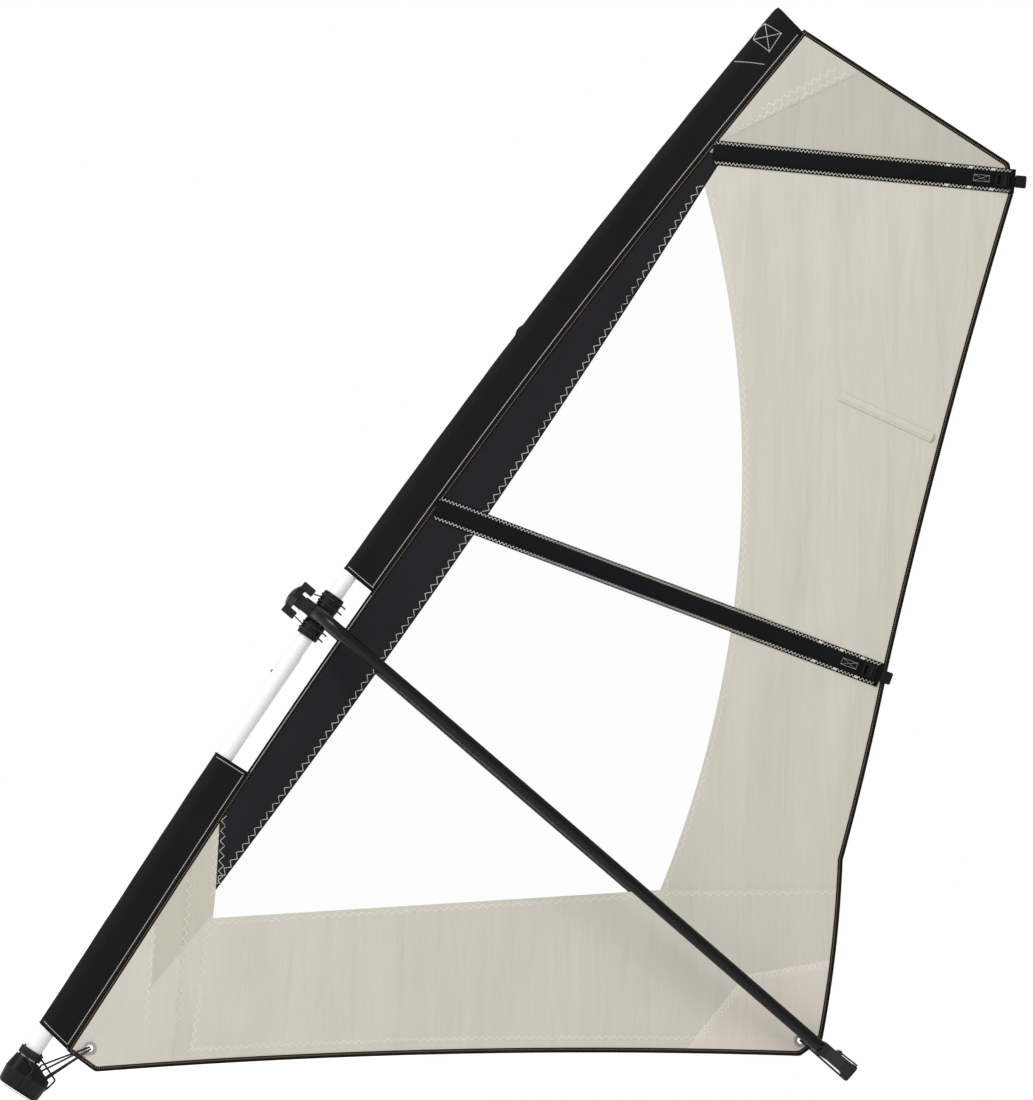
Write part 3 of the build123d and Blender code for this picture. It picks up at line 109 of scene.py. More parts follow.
def woven(name, light, dark, thread_mm, bump_mm, rough, blotch_m=0.16, sheen=0.0, tones=(), folds_mm=3.0):
    """Plain weave: colour drifts between two values over a blotch's length, bump is sin(x) * sin(z).

    tones are further colours, picked by the mesh's face attribute "tone" as 1, 2, ... Folds are a noise
    drawn out along the leech, folds_mm high.
    """
    material, tree, join = new_material(name)
    place = add_node(tree, "TexCoord").outputs["Object"]
    blotch = add_node(tree, "TexNoise", {"Vector": place, "Scale": 1 / blotch_m, "Detail": 4.0, "Roughness": 0.55})
    colour = blend_colours(tree, blotch.outputs[0], dark, light)
    if tones:
        tone = add_node(tree, "Attribute", attribute_name="tone").outputs["Fac"]
        for number, code in enumerate(tones, start=1):
            near = add_node(tree, "Math", {0: tone, 1: float(number), 2: 0.3}, operation="COMPARE").outputs[0]
            colour = blend_colours(tree, near, colour, code)
    bands = []
    for axis in ("X", "Z"):
        wave = add_node(tree, "TexWave", {"Vector": place, "Scale": THREAD_SCALE / (thread_mm * MM),
                                          "Distortion": 0.6, "Detail": 1.0}, wave_type="BANDS",
                        bands_direction=axis)
        bands.append(wave.outputs["Fac"])
    weave = add_node(tree, "Math", {0: bands[0], 1: bands[1]}, operation="MULTIPLY").outputs[0]
    along = add_node(tree, "Mapping", {"Vector": place, "Rotation": FOLD_TURN, "Scale": FOLD_SIZE},
                     vector_type="TEXTURE")
    creases = add_node(tree, "TexNoise", {"Vector": along.outputs[0], "Scale": 1.0, "Detail": 3.0, "Distortion": 0.5})
    thread = add_node(tree, "Bump", {"Height": weave, "Strength": 0.35, "Distance": bump_mm * MM})
    relief = add_node(tree, "Bump", {"Height": creases.outputs[0], "Strength": 0.5, "Distance": folds_mm * MM,
                                     "Normal": thread.outputs[0]})
    cloth = add_node(tree, "BsdfPrincipled", {"Base Color": colour, "Roughness": rough, "Normal": relief.outputs[0],
                                              "Sheen Weight": sheen, "Sheen Roughness": 0.5,
                                              "Specular IOR Level": 0.1})
    join(cloth)
    return material


TONES = {"shaded": "BFBBAE", "tack": "CDC8BC", "clew": "D4CCC2", "head_patch": "C3BEB3", "head": "BBB7AC"}
TONE = {name: number for number, name in enumerate(TONES, start=1)}
SAILCLOTH = woven("pressed_polyester_sailcloth", "CDC9BE", "C6C2B5", 3.0, 0.10, 0.62, tones=TONES.values(),
                  folds_mm=9.0)
SLEEVE_CLOTH = woven("soft_black_polyester", "1D1C1E", "161517", 3.0, 0.2, 0.8, 0.08, 0.03)
LUFF_CLOTH = woven("pressed_black_polyester", "222124", "1B1A1D", 3.0, 0.1, 0.7, 0.12, 0.02)
BINDING_TAPE = woven("folded_black_tape", "171514", "0E0D0D", 2.0, 0.25, 0.75, 0.05)
WEBBING = woven("ribbed_black_webbing", "151417", "0C0C0E", 3.6, 0.5, 0.7, 0.05)
print("cloth materials made")

# %% [markdown]
# ## Thread, film, rope and foam
# Bonded polyester thread is a soft off-white or grey. The window is clear pressed film, so it is
# nearly all transparent. Braided line is dark with red-brown flecks, which are short dashes running
# across the tube. The boom's grip is closed-cell foam, with fine pores and a soft shine.

# %% Thread, film and rope materials
def plain_finish(name, light, dark, rough, grain_mm, bump_mm, metal=0.0, specular=0.5, edge_mm=0.0):
    """One colour drifting to another on a fine noise that is its bump too; edge_mm rounds the edges' shading."""
    material, tree, join = new_material(name)
    place = add_node(tree, "TexCoord").outputs["Object"]
    grain = add_node(tree, "TexNoise", {"Vector": place, "Scale": 1 / (grain_mm * MM), "Detail": 3.0})
    drift = add_node(tree, "TexNoise", {"Vector": place, "Scale": 25.0, "Detail": 2.0})
    both = add_node(tree, "Math", {0: grain.outputs[0], 1: drift.outputs[0]}, operation="MULTIPLY")
    colour = blend_colours(tree, both.outputs[0], dark, light)
    bump = add_node(tree, "Bump", {"Height": grain.outputs[0], "Strength": 0.5, "Distance": bump_mm * MM})
    if edge_mm:
        rounded = add_node(tree, "Bevel", {"Radius": edge_mm * MM}, samples=6)
        tree.links.new(rounded.outputs[0], bump.inputs["Normal"])
    join(add_node(tree, "BsdfPrincipled", {"Base Color": colour, "Roughness": rough, "Metallic": metal,
                                           "Specular IOR Level": specular, "Normal": bump.outputs[0]}))
    return material


CREAM_THREAD = plain_finish("cream_polyester_thread", "F4F1E8", "E6E1D4", 0.6, 1.0, 0.1)
GREY_THREAD = plain_finish("grey_polyester_thread", "D2D1CE", "B2B0AC", 0.6, 1.0, 0.1)
TAN_THREAD = plain_finish("tan_polyester_thread", "A08C78", "77675A", 0.6, 1.0, 0.1)
FOAM = plain_finish("closed_cell_foam", "131214", "09090A", 0.34, 1.6, 0.1, specular=0.3)
MOULDED = plain_finish("moulded_black_nylon", "1A1A1C", "0C0C0E", 0.3, 1.2, 0.06, specular=0.3, edge_mm=0.8)
GLOSSY_MOULDED = plain_finish("polished_black_nylon", "19191B", "0B0B0D", 0.22, 1.5, 0.04, specular=0.6,
                              edge_mm=1.6)
BLACK_ARM = plain_finish("black_anodised_tube", "161618", "0D0D0F", 0.3, 1.5, 0.03, specular=0.3)
STEEL = plain_finish("stainless_steel", "D6D6D8", "A9A9AC", 0.22, 2.0, 0.02, metal=1.0)
BATTEN_STRIP = plain_finish("pultruded_glass_strip", "DADACD", "C4C4B4", 0.4, 2.0, 0.05)


def drawn_aluminium():
    """Drawn, unpolished aluminium: long faint lines run along the tube, so noise is stretched along Z."""
    material, tree, join = new_material("drawn_aluminium")
    place = add_node(tree, "TexCoord").outputs["Object"]
    stretched = add_node(tree, "Mapping", {"Vector": place, "Scale": (900.0, 900.0, 6.0)})
    lines = add_node(tree, "TexNoise", {"Vector": stretched.outputs[0], "Scale": 1.0, "Detail": 3.0})
    colour = blend_colours(tree, lines.outputs[0], "EFEFF1", "FBFBFC")
    bump = add_node(tree, "Bump", {"Height": lines.outputs[0], "Strength": 0.15, "Distance": 0.03 * MM})
    join(add_node(tree, "BsdfPrincipled", {"Base Color": colour, "Metallic": 0.12, "Roughness": 0.36,
                                           "Normal": bump.outputs[0]}))
    return material


def clear_film():
    """Pressed window film: nearly clear, with a faint grey tint and a hard gloss."""
    material, tree, join = new_material("clear_window_film")
    place = add_node(tree, "TexCoord").outputs["Object"]
    haze = add_node(tree, "TexNoise", {"Vector": place, "Scale": 6.0, "Detail": 2.0})
    colour = blend_colours(tree, haze.outputs[0], "6A6E70", "7A7E80")
    bump = add_node(tree, "Bump", {"Height": haze.outputs[0], "Strength": 0.2, "Distance": 2 * MM})
    join(add_node(tree, "BsdfPrincipled", {"Base Color": colour, "Roughness": 0.12, "Alpha": 0.012,
                                           "Normal": bump.outputs[0]}))
    return material


def braided_line():
    """Braid on the tube's own UV map, in metres: two slanted bands cross, and every few picks is red-brown."""
    material, tree, join = new_material("braided_polyester_line")
    uv = add_node(tree, "UVMap", uv_map="braid").outputs[0]
    bands = []
    for slant in (1, -1):
        turned = add_node(tree, "Mapping", {"Vector": uv, "Rotation": (0, 0, slant * 0.8)})
        wave = add_node(tree, "TexWave", {"Vector": turned.outputs[0], "Scale": 90.0}, wave_type="BANDS")
        bands.append(wave.outputs["Fac"])
    picks = add_node(tree, "Math", {0: bands[0], 1: bands[1]}, operation="MAXIMUM")
    speck = add_node(tree, "TexVoronoi", {"Vector": uv, "Scale": 560.0})
    fleck = add_node(tree, "Math", {0: speck.outputs["Color"], 1: 0.76}, operation="GREATER_THAN")
    colour = blend_colours(tree, fleck.outputs[0], "141013", "5E3632")
    bump = add_node(tree, "Bump", {"Height": picks.outputs[0], "Strength": 0.6, "Distance": 0.4 * MM})
    join(add_node(tree, "BsdfPrincipled", {"Base Color": colour, "Roughness": 0.7, "Normal": bump.outputs[0]}))
    return material


ALUMINIUM = drawn_aluminium()
FILM = clear_film()
BRAID = braided_line()
print(len(bpy.data.materials), "materials so far")

# %% [markdown]
# ## The mast's bend and the sail's outline
# The mast is straight up to 600 mm, then bends aft on a 19 m radius. The sail's luff runs 60 mm aft of
# the mast's centreline, and the rest of its edge is straight runs and long arcs. The outline is kept as
# one closed line of points in millimetres, and each panel is cut from stretches of it.

# %% Mast and outline functions
BEND_START, BEND_RADIUS, LUFF_OFFSET = 600.0, 19000.0, 60.0


def mast_at(height, aft=0.0):
    """(X, Z) in mm beside the mast: a straight run, then a circle; heights and offsets may be arrays."""
    height, aft = np.broadcast_arrays(np.asarray(height, float), np.asarray(aft, float))
    turn = np.maximum(0, height - BEND_START) / BEND_RADIUS
    x = BEND_RADIUS * (1 - np.cos(turn)) + aft * np.cos(turn)
    z = np.minimum(height, BEND_START) + BEND_RADIUS * np.sin(turn) - aft * np.sin(turn)
    return np.stack([x, z], -1)


def arc(a, through, b, step=20.0):
    """Points along the circle through three points, about step mm apart."""
    a, m, b = (np.array(p, float) for p in (a, through, b))
    d = 2 * (a[0] * (m[1] - b[1]) + m[0] * (b[1] - a[1]) + b[0] * (a[1] - m[1]))
    s = np.array([a @ a, m @ m, b @ b])
    centre = np.array([s @ [m[1] - b[1], b[1] - a[1], a[1] - m[1]], s @ [b[0] - m[0], a[0] - b[0], m[0] - a[0]]]) / d
    angles = np.unwrap([np.arctan2(*(p - centre)[::-1]) for p in (a, m, b)])
    radius = np.linalg.norm(a - centre)
    count = max(3, int(radius * abs(angles[2] - angles[0]) / step))
    t = np.linspace(angles[0], angles[2], count)
    return centre + radius * np.stack([np.cos(t), np.sin(t)], -1)


def straight(a, b, step=20.0):
    """Points along a straight run, about step mm apart."""
    a, b = np.array(a, float), np.array(b, float)
    count = max(2, int(np.linalg.norm(b - a) / step) + 1)
    return a + (b - a) * np.linspace(0, 1, count)[:, None]


def unit(vectors):
    """Vectors along the last axis, each scaled to length 1."""
    return vectors / np.linalg.norm(vectors, axis=-1, keepdims=True)


def distance_along(line):
    """Distance from a run's start to each of its points."""
    return np.r_[0, np.cumsum(np.linalg.norm(np.diff(line, axis=0), axis=1))]


def points_at(line, places):
    """The points at given distances along a run."""
    along = distance_along(line)
    return np.stack([np.interp(places, along, column) for column in line.T], -1)


def to_nearest(points, others):
    """Distance from each point to the nearest of the others, worked out 2000 points at a time."""
    parts = np.array_split(points, max(1, len(points) // 2000))
    return np.concatenate([np.sqrt(((part[:, None] - others[None]) ** 2).sum(-1)).min(1) for part in parts])


def chain(*runs):
    """Runs joined end to end, without the doubled points."""
    points = np.concatenate(runs)
    keep = np.r_[True, np.linalg.norm(np.diff(points, axis=0), axis=1) > 0.05]
    return points[keep]


TACK, TACK_BOTTOM = (60.0, 133.0), (140.0, 128.0)
HEAD_CORNER, UPPER_LEECH, LOWER_LEECH = (742.0, 2904.0), (787.0, 2848.0), (1121.0, 1821.0)
CLEW_TOP, CLEW_BOTTOM = (1444.0, 1054.0), (1422.0, 998.0)
luff_heights = np.append(np.arange(133.0, 2908.0, 20.0), 2911.0)
luff_line = mast_at(luff_heights, LUFF_OFFSET)
luff_line[-1, 1] = 2904.0
head_line = straight(luff_line[-1], HEAD_CORNER)
leech_line = chain(straight(HEAD_CORNER, UPPER_LEECH), arc(UPPER_LEECH, (955, 2300), LOWER_LEECH),
                   arc(LOWER_LEECH, (1210, 1582), (1267, 1411)), arc((1267, 1411), (1352, 1256), CLEW_TOP))
foot_line = chain(straight(CLEW_TOP, CLEW_BOTTOM), arc(CLEW_BOTTOM, (781, 589), TACK_BOTTOM),
                  straight(TACK_BOTTOM, TACK))
outline = chain(luff_line, head_line, leech_line, foot_line)[:-1]
print("outline", len(outline), "points")

# %% [markdown]
# ## Cutting panels
# A sail is sewn from panels whose seams are long lines, so each panel is a closed line made of
# stretches of the outline and of the seams. Filling it with a grid of points and a constrained
# Delaunay triangulation gives even triangles that can carry a gentle ripple.

# %% Outline stretches and crossings
def crossings(a, b, line):
    """Where the endless line through a and b crosses a run of points: (place along the run, point)."""
    a, b = np.array(a, float), np.array(b, float)
    normal = np.array([-(b - a)[1], (b - a)[0]])
    side = (line - a) @ normal
    hits = np.nonzero(np.sign(side[:-1]) != np.sign(side[1:]))[0]
    share = side[hits] / (side[hits] - side[hits + 1])
    return [(i + s, line[i] + (line[i + 1] - line[i]) * s) for i, s in zip(hits, share)]


def stretch(line, start, end):
    """The part of a run between two places along it, either way round."""
    low, high = sorted((start, end))
    inner = line[int(np.floor(low)) + 1:int(np.ceil(high))]
    after = [line[min(int(p) + 1, len(line) - 1)] for p in (low, high)]
    ends = [line[int(p)] + (far - line[int(p)]) * (p - int(p)) for p, far in zip((low, high), after)]
    points = np.concatenate([[ends[0]], inner, [ends[1]]])
    return points if start < end else points[::-1]


def place_near(line, point):
    """Place along a run of the point nearest to one given."""
    return float(np.argmin(np.linalg.norm(line - np.array(point), axis=1)))


UPPER_BATTEN = ((179.0, 2565.3), (774.0, 2875.4))
LOWER_BATTEN = ((92.0, 1574.7), (1117.0, 1797.7))
SHORT_BATTEN = ((705.0, 2266.0), (930.0, 2300.0))
TACK_APEX, LUFF_PANEL_FOOT, WINDOW_TACK = (66.0, 752.0), (145.0, 606.0), (173.0, 551.0)
WINDOW_CLEW, WINDOW_HEAD, TACK_PANEL_FOOT = (965.0, 1137.0), (205.0, 2492.0), (301.0, 250.0)
FOOT_SEAM_LEECH = (1320.0, 1372.0)
luff_seam = arc(LUFF_PANEL_FOOT, (197.5, 1610), WINDOW_HEAD)
window_seam = arc(WINDOW_CLEW, (696, 1877), WINDOW_HEAD)

upper_luff = crossings(*UPPER_BATTEN, luff_line)[0]
upper_leech = crossings(*UPPER_BATTEN, leech_line)[0]
lower_leech = crossings(*LOWER_BATTEN, leech_line)[0]
lower_window = crossings(*LOWER_BATTEN, window_seam)[0]
seam_leech = crossings(WINDOW_CLEW, FOOT_SEAM_LEECH, leech_line)[0]
tack_foot = crossings(WINDOW_TACK, TACK_PANEL_FOOT, foot_line)[0]
apex = place_near(luff_line, TACK_APEX)
over_window = np.array([205.0, UPPER_BATTEN[0][1] + (205 - UPPER_BATTEN[0][0]) * 0.52118])

# %% Panel outlines
PANELS = {
    "head_panel": [stretch(luff_line, upper_luff[0], len(luff_line) - 1.001), head_line,
                   stretch(leech_line, 0, upper_leech[0])],
    "luff_panel": [stretch(luff_line, apex, upper_luff[0]), straight(upper_luff[1], over_window),
                   straight(over_window, WINDOW_HEAD), luff_seam[::-1],
                   straight(LUFF_PANEL_FOOT, luff_line[int(apex)])],
    "tack_panel": [straight(luff_line[int(apex)], LUFF_PANEL_FOOT), straight(LUFF_PANEL_FOOT, WINDOW_TACK),
                   straight(WINDOW_TACK, tack_foot[1]), stretch(foot_line, tack_foot[0], len(foot_line) - 1.001),
                   stretch(luff_line, 0, apex)],
    "window_film": [luff_seam, window_seam[::-1], straight(WINDOW_CLEW, WINDOW_TACK),
                    straight(WINDOW_TACK, LUFF_PANEL_FOOT)],
    "leech_panel_upper": [straight(over_window, upper_leech[1]), stretch(leech_line, upper_leech[0], lower_leech[0]),
                          straight(lower_leech[1], lower_window[1]),
                          stretch(window_seam, lower_window[0], len(window_seam) - 1.001),
                          straight(WINDOW_HEAD, over_window)],
    "leech_panel_lower": [straight(lower_window[1], lower_leech[1]),
                          stretch(leech_line, lower_leech[0], seam_leech[0]), straight(seam_leech[1], WINDOW_CLEW),
                          stretch(window_seam, 0, lower_window[0])],
    "foot_panel": [straight(WINDOW_TACK, WINDOW_CLEW), straight(WINDOW_CLEW, seam_leech[1]),
                   stretch(leech_line, seam_leech[0], len(leech_line) - 1.001),
                   stretch(foot_line, 0, tack_foot[0]), straight(tack_foot[1], WINDOW_TACK)],
}
print(len(PANELS), "panels")

# %% [markdown]
# ## Ripples, and turning outlines into cloth
# A sail that lies slack shows soft ripples that run from its corners and along its leech. They are a
# sum of three waves, faded out near the sewn edges and battens, where webbing and tape hold the
# cloth flat. Film, cloth, thread and tape all read the same ripple, so they stay together.

# %% Ripple of the sail
def distance_to_line(points, a, b):
    """Distance in mm from points to the run between a and b."""
    a, b = np.array(a, float), np.array(b, float)
    t = np.clip(((points - a) @ (b - a)) / ((b - a) @ (b - a)), 0, 1)
    return np.linalg.norm(points - a - t[:, None] * (b - a), axis=1)


edge_points = outline[::2]


def ripple(points):
    """Offset from the plane Y = 0, in mm: waves of about 100, 190 and 500 mm, faded over 60 mm from the edges.

    t runs roughly along the leech and s across it, so the two shorter waves are folds along the leech.
    """
    points = np.atleast_2d(np.asarray(points, float))
    x, z = points.T
    s, t = 0.839 * x + 0.544 * z, 0.839 * z - 0.544 * x
    waves = (2.6 * np.sin(s / 30 + 1.3 * np.sin(t / 260)) * (0.6 + 0.4 * np.sin(t / 410 + s / 300))
             + 1.5 * np.sin(s / 16 + t / 700 + 2) * np.cos(t / 330 + 0.5) ** 2 + 2.2 * np.sin(x / 90 + z / 170))
    near = to_nearest(points, edge_points)
    for line in (UPPER_BATTEN, LOWER_BATTEN):
        near = np.minimum(near, distance_to_line(points, *line) - 24)
    near = np.minimum(near, distance_to_line(points, *SHORT_BATTEN) - 6)
    fade = np.clip((near - 14) / 60, 0, 1)
    return waves * fade * fade * (3 - 2 * fade)


# %% New objects
def make_object(name, vertices, faces, material, replaced=(), body="mast", smooth=True):
    """A mesh object at the origin from vertices in metres; it rides on a body and stands for CAD nodes."""
    mesh = bpy.data.meshes.new(name)
    mesh.from_pydata(np.asarray(vertices).reshape(-1, 3).tolist(), [], [list(map(int, f)) for f in faces])
    mesh.polygons.foreach_set("use_smooth", np.full(len(mesh.polygons), smooth))
    mesh.materials.append(material)
    mesh.update()
    piece = bpy.data.objects.new(name, mesh)
    bpy.context.scene.collection.objects.link(piece)
    if body:
        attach(piece, body)
    if replaced:
        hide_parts(*([replaced] if isinstance(replaced, str) else replaced))
    return piece


def inside(points, polygon):
    """Whether points lie in a polygon: an odd number of its sides cross the ray to the right."""
    a, b = polygon, np.roll(polygon, -1, axis=0)
    x, z = points[:, 0:1], points[:, 1:2]
    straddles = (a[:, 1] > z) != (b[:, 1] > z)
    rise = np.where(b[:, 1] == a[:, 1], 1e-9, b[:, 1] - a[:, 1])
    cross = (b[:, 0] - a[:, 0]) * (z - a[:, 1]) / rise + a[:, 0]
    return ((straddles & (x < cross)).sum(1) % 2).astype(bool)


def even_normals(piece):
    """Shade by the larger faces, so that a sheet's thin rim doesn't darken its edge."""
    normals = piece.modifiers.new("normals", "WEIGHTED_NORMAL")
    normals.mode, normals.weight = "FACE_AREA", 100


# %% Panel builder
def sew_panel(name, runs, material, thickness_mm, seams=(), holes=(), grid=18.0):
    """Fill a closed line with even triangles, ripple it, and give it a wall with Solidify.

    seams are lines that the triangles keep to, so that tones change crisply along them.
    """
    line = chain(*runs)[:-1]
    low, high = line.min(0), line.max(0)
    gx, gz = np.meshgrid(np.arange(low[0], high[0], grid), np.arange(low[1], high[1], grid * 0.87))
    gx = gx + (np.arange(len(gx))[:, None] % 2) * grid / 2
    grid_points = np.stack([gx.ravel(), gz.ravel()], -1)
    grid_points = grid_points[inside(grid_points, line)]
    grid_points = grid_points[to_nearest(grid_points, line) > grid * 0.5]
    points, edges, cuts = [line, grid_points], [], []
    count, around = len(line) + len(grid_points), 24
    for seam in seams:
        points.append(seam)
        edges += [(count + i, count + i + 1) for i in range(len(seam) - 1)]
        count += len(seam)
    for centre, radius in holes:
        t = np.linspace(0, 2 * np.pi, around, endpoint=False)
        ring = np.array(centre) + radius * np.stack([np.cos(t), np.sin(t)], -1)
        points.append(ring)
        edges += [(count + i, count + (i + 1) % around) for i in range(around)]
        cuts.append((np.array(centre), radius))
        count += around
    points = np.concatenate(points)
    corners, rim = [Vector(p) for p in points.tolist()], list(range(len(line)))
    result = geometry.delaunay_2d_cdt(corners, edges, [rim], 1, 1e-4)
    flat = np.array([v[:] for v in result[0]])
    faces = np.array([f for f in result[2]])
    middle = flat[faces].mean(1)
    for centre, radius in cuts:
        faces = faces[np.linalg.norm(middle - centre, axis=1) > radius]
        middle = flat[faces].mean(1)
    used, faces = np.unique(faces, return_inverse=True)
    flat, faces = flat[used], faces.reshape(-1, 3)
    vertices = np.stack([flat[:, 0], ripple(flat), flat[:, 1]], -1) * MM
    winding = np.cross(flat[faces[:, 1]] - flat[faces[:, 0]], flat[faces[:, 2]] - flat[faces[:, 0]])
    faces[winding < 0] = faces[winding < 0][:, ::-1]
    panel = make_object(name, vertices, faces, material, name)
    wall = panel.modifiers.new("wall", "SOLIDIFY")
    wall.thickness, wall.offset, wall.use_even_offset = thickness_mm * MM, 0.0, False
    even_normals(panel)
    return panel, flat[faces].mean(1)


def set_tones(panel, middles, regions):
    """Write the face attribute "tone": the number of the last region that a face's middle lies in."""
    tone = np.zeros(len(middles))
    for number, test in regions:
        tone[test(middles)] = number
    attribute = panel.data.attributes.new("tone", "FLOAT", "FACE")
    attribute.data.foreach_set("value", tone)


def beyond(a, b):
    """A test for points to the left of the line from a to b."""
    a, b = np.array(a, float), np.array(b, float)
    return lambda p: (b - a)[0] * (p - a)[:, 1] - (b - a)[1] * (p - a)[:, 0] > 0


# %% [markdown]
# ## The panels
# The beige cloth is doubled where the loads come together: at the tack, the clew and the head. Doubled
# cloth looks a little darker or pinker, with a sharp edge, and the black luff panel shows faintly
# through the single cloth that covers its foot. Each of these is a tone of the same material.

# %% Sew the panels
BAND, SHOW_THROUGH = ((70.0, 474.0), (141.0, 352.0)), ((142.0, 350.0), (168.0, 556.0))
CLEW_EDGE = np.array([(1206.0, 913.0), (1224.0, 1082.0), (1363.0, 1211.0)])
EYELETS = {"tack": (102.0, 165.0), "clew": (1404.0, 1027.0)}
EYELET_HOLE = 8.8
TACK_HOLE, CLEW_HOLE = (EYELETS["tack"], EYELET_HOLE), (EYELETS["clew"], EYELET_HOLE)
clew_area = np.vstack([CLEW_EDGE, [(1600, 1300), (1600, 700), (1206, 700)]])
tack_area = np.array([(-100.0, 0.0), (400.0, 0.0), (400.0, 700.0), (-100.0, 700.0)])


def everywhere(points):
    """A test that every point passes."""
    return np.full(len(points), True)


def behind(points):
    """Whether the black luff panel lies behind a point of the tack."""
    return beyond(*BAND)(points) & beyond(*SHOW_THROUGH)(points)


DETAILS = {  # lines that the triangles keep to, holes, tones
    "head_panel": ([((185, 2610), (345, 2900)), ((150, 2640), (305, 2900))], [], [(TONE["head"], everywhere)]),
    "tack_panel": ([SHOW_THROUGH, BAND], [TACK_HOLE], [(TONE["shaded"], behind)]),
    "leech_panel_lower": ([CLEW_EDGE[1:]], [], []),
    "foot_panel": ([CLEW_EDGE[:2], CLEW_EDGE[1:]], [CLEW_HOLE], [(TONE["tack"], lambda p: inside(p, clew_area))]),
}
for node, runs in PANELS.items():
    if node == "luff_panel":
        sew_panel(node, runs, LUFF_CLOTH, 1.0)
    elif node == "window_film":
        sew_panel(node, runs, FILM, 0.6, grid=30.0)
    else:
        seams, holes, tones = DETAILS.get(node, ([], [], []))
        seams = [straight(*seam) for seam in seams]
        set_tones(*sew_panel(node, runs, SAILCLOTH, 1.0, seams=seams, holes=holes), tones)

# %% [markdown]
# ## Reinforcing patches
# The doubled layers lie on both faces: the same cloth, half a millimetre proud of the panel, so one
# thicker sheet with the panel inside it gives both. Their edges catch the light along the sewn bands.

# %% Patches on both faces
TACK_EDGE, HEAD_EDGE = ((249.0, 280.0), (73.0, 612.0)), ((189.0, 2610.0), (345.0, 2874.0))
tack_luff, tack_low = crossings(*TACK_EDGE, luff_line)[0], crossings(*TACK_EDGE, foot_line)[0]
clew_low = crossings((1206, 913), (1206, 600), foot_line)[0]
clew_high = crossings((1363, 1211), (1600, 1400), leech_line)[0]
head_top = crossings(*HEAD_EDGE, head_line)[0]
head_luff = crossings(*HEAD_EDGE, luff_line)[-1]
PATCHES = {
    "tack_patch": ([straight(tack_luff[1], tack_low[1]), stretch(foot_line, tack_low[0], len(foot_line) - 1.001),
                    stretch(luff_line, 0, tack_luff[0])], TONE["tack"], [TACK_HOLE]),
    "clew_patch": ([straight(clew_low[1], CLEW_EDGE[0]), straight(CLEW_EDGE[0], CLEW_EDGE[1]),
                    straight(CLEW_EDGE[1], CLEW_EDGE[2]), straight(CLEW_EDGE[2], clew_high[1]),
                    stretch(leech_line, clew_high[0], len(leech_line) - 1.001), stretch(foot_line, 0, clew_low[0])],
                   TONE["clew"], [CLEW_HOLE]),
    "head_patch": ([straight(head_luff[1], head_top[1]), stretch(head_line, 0, head_top[0])[::-1],
                    stretch(luff_line, head_luff[0], len(luff_line) - 1.001)[::-1]], TONE["head_patch"], []),
}
for node, (runs, tone, holes) in PATCHES.items():
    seams = [straight((142, 350), (155, 453)), straight(*BAND)] if node == "tack_patch" else ()
    patch, middles = sew_panel(node, runs, SAILCLOTH, 2.0, seams=seams, holes=holes)
    set_tones(patch, middles, [(tone, everywhere), (TONE["shaded"], lambda p: behind(p) & inside(p, tack_area))])

# %% [markdown]
# ## Strips, tubes and stitches
# Tape, webbing and pockets are a flat profile drawn along a line. Lines and piping are round tubes
# along a smooth curve, with a UV map in metres for the braid. Stitches are small roof shapes, so that
# thousands of them stay light, and every one lies on the cloth's own ripple.

# %% Profile along a path
def loft(rings, closed_ends=True):
    """Quads between successive rings of points, shaped (rings, points, 3); ends are filled if asked."""
    rings = np.asarray(rings, float)
    count, size = rings.shape[:2]
    index = np.arange(count * size).reshape(count, size)
    across = np.roll(index, -1, axis=1)
    faces = np.stack([index[:-1], index[1:], across[1:], across[:-1]], -1).reshape(-1, 4).tolist()
    if closed_ends:
        faces += [index[0].tolist(), index[-1][::-1].tolist()]
    return rings.reshape(-1, 3), faces


def to_right(directions):
    """Directions in the sail's plane, turned a quarter to the right."""
    return np.stack([directions[:, 1], -directions[:, 0]], -1)


def offset_path(line, inset):
    """Points moved inset mm to the right of the line's direction, with mitred corners, and their offsets."""
    step = unit(np.diff(line, axis=0))
    before, after = np.vstack([step[:1], step]), np.vstack([step, step[-1:]])
    middle = unit(to_right(before) + to_right(after))
    stretch_by = 1 / np.clip((middle * to_right(after)).sum(1), 0.5, 1)
    return line + middle * (inset * stretch_by)[:, None], middle * stretch_by[:, None]


def moved(line, inset):
    """Points moved inset mm to the right of the line's direction."""
    return offset_path(line, inset)[0]


def round_corners(line):
    """Cut each sharp corner of a run twice, at a quarter of the way along both of its sides."""
    for _ in range(2):
        step = unit(np.diff(line, axis=0))
        sharp = np.r_[False, (step[:-1] * step[1:]).sum(1) < 0.96, False]
        points = []
        for i, point in enumerate(line):
            sides = [line[j] - point for j in (i - 1, i + 1)] if sharp[i] else [np.zeros(2)]
            points += [point + side * min(0.25, 6 / max(np.linalg.norm(side), 1)) for side in sides]
        line = np.array(points)
    return line


def tape(name, line, inset, width, thickness, material, node):
    """Tape folded over the sail's edge: a rounded profile, width by thickness, inset from the line."""
    across = np.array([-.5, -.47, -.36, 0, .36, .47, .5, .5, .47, .36, 0, -.36, -.47, -.5]) * width
    height = np.array([.28, .45, .5, .5, .5, .47, .4, -.4, -.47, -.5, -.5, -.5, -.45, -.28]) * thickness
    centre, out = offset_path(line, inset)
    relief = ripple(centre)
    flat = centre[:, None] + out[:, None] * across[None, :, None]
    rings = np.stack([flat[..., 0], relief[:, None] + height[None], flat[..., 1]], -1)
    vertices, faces = loft(rings)
    piece = make_object(name, vertices * MM, faces, material, node)
    return piece


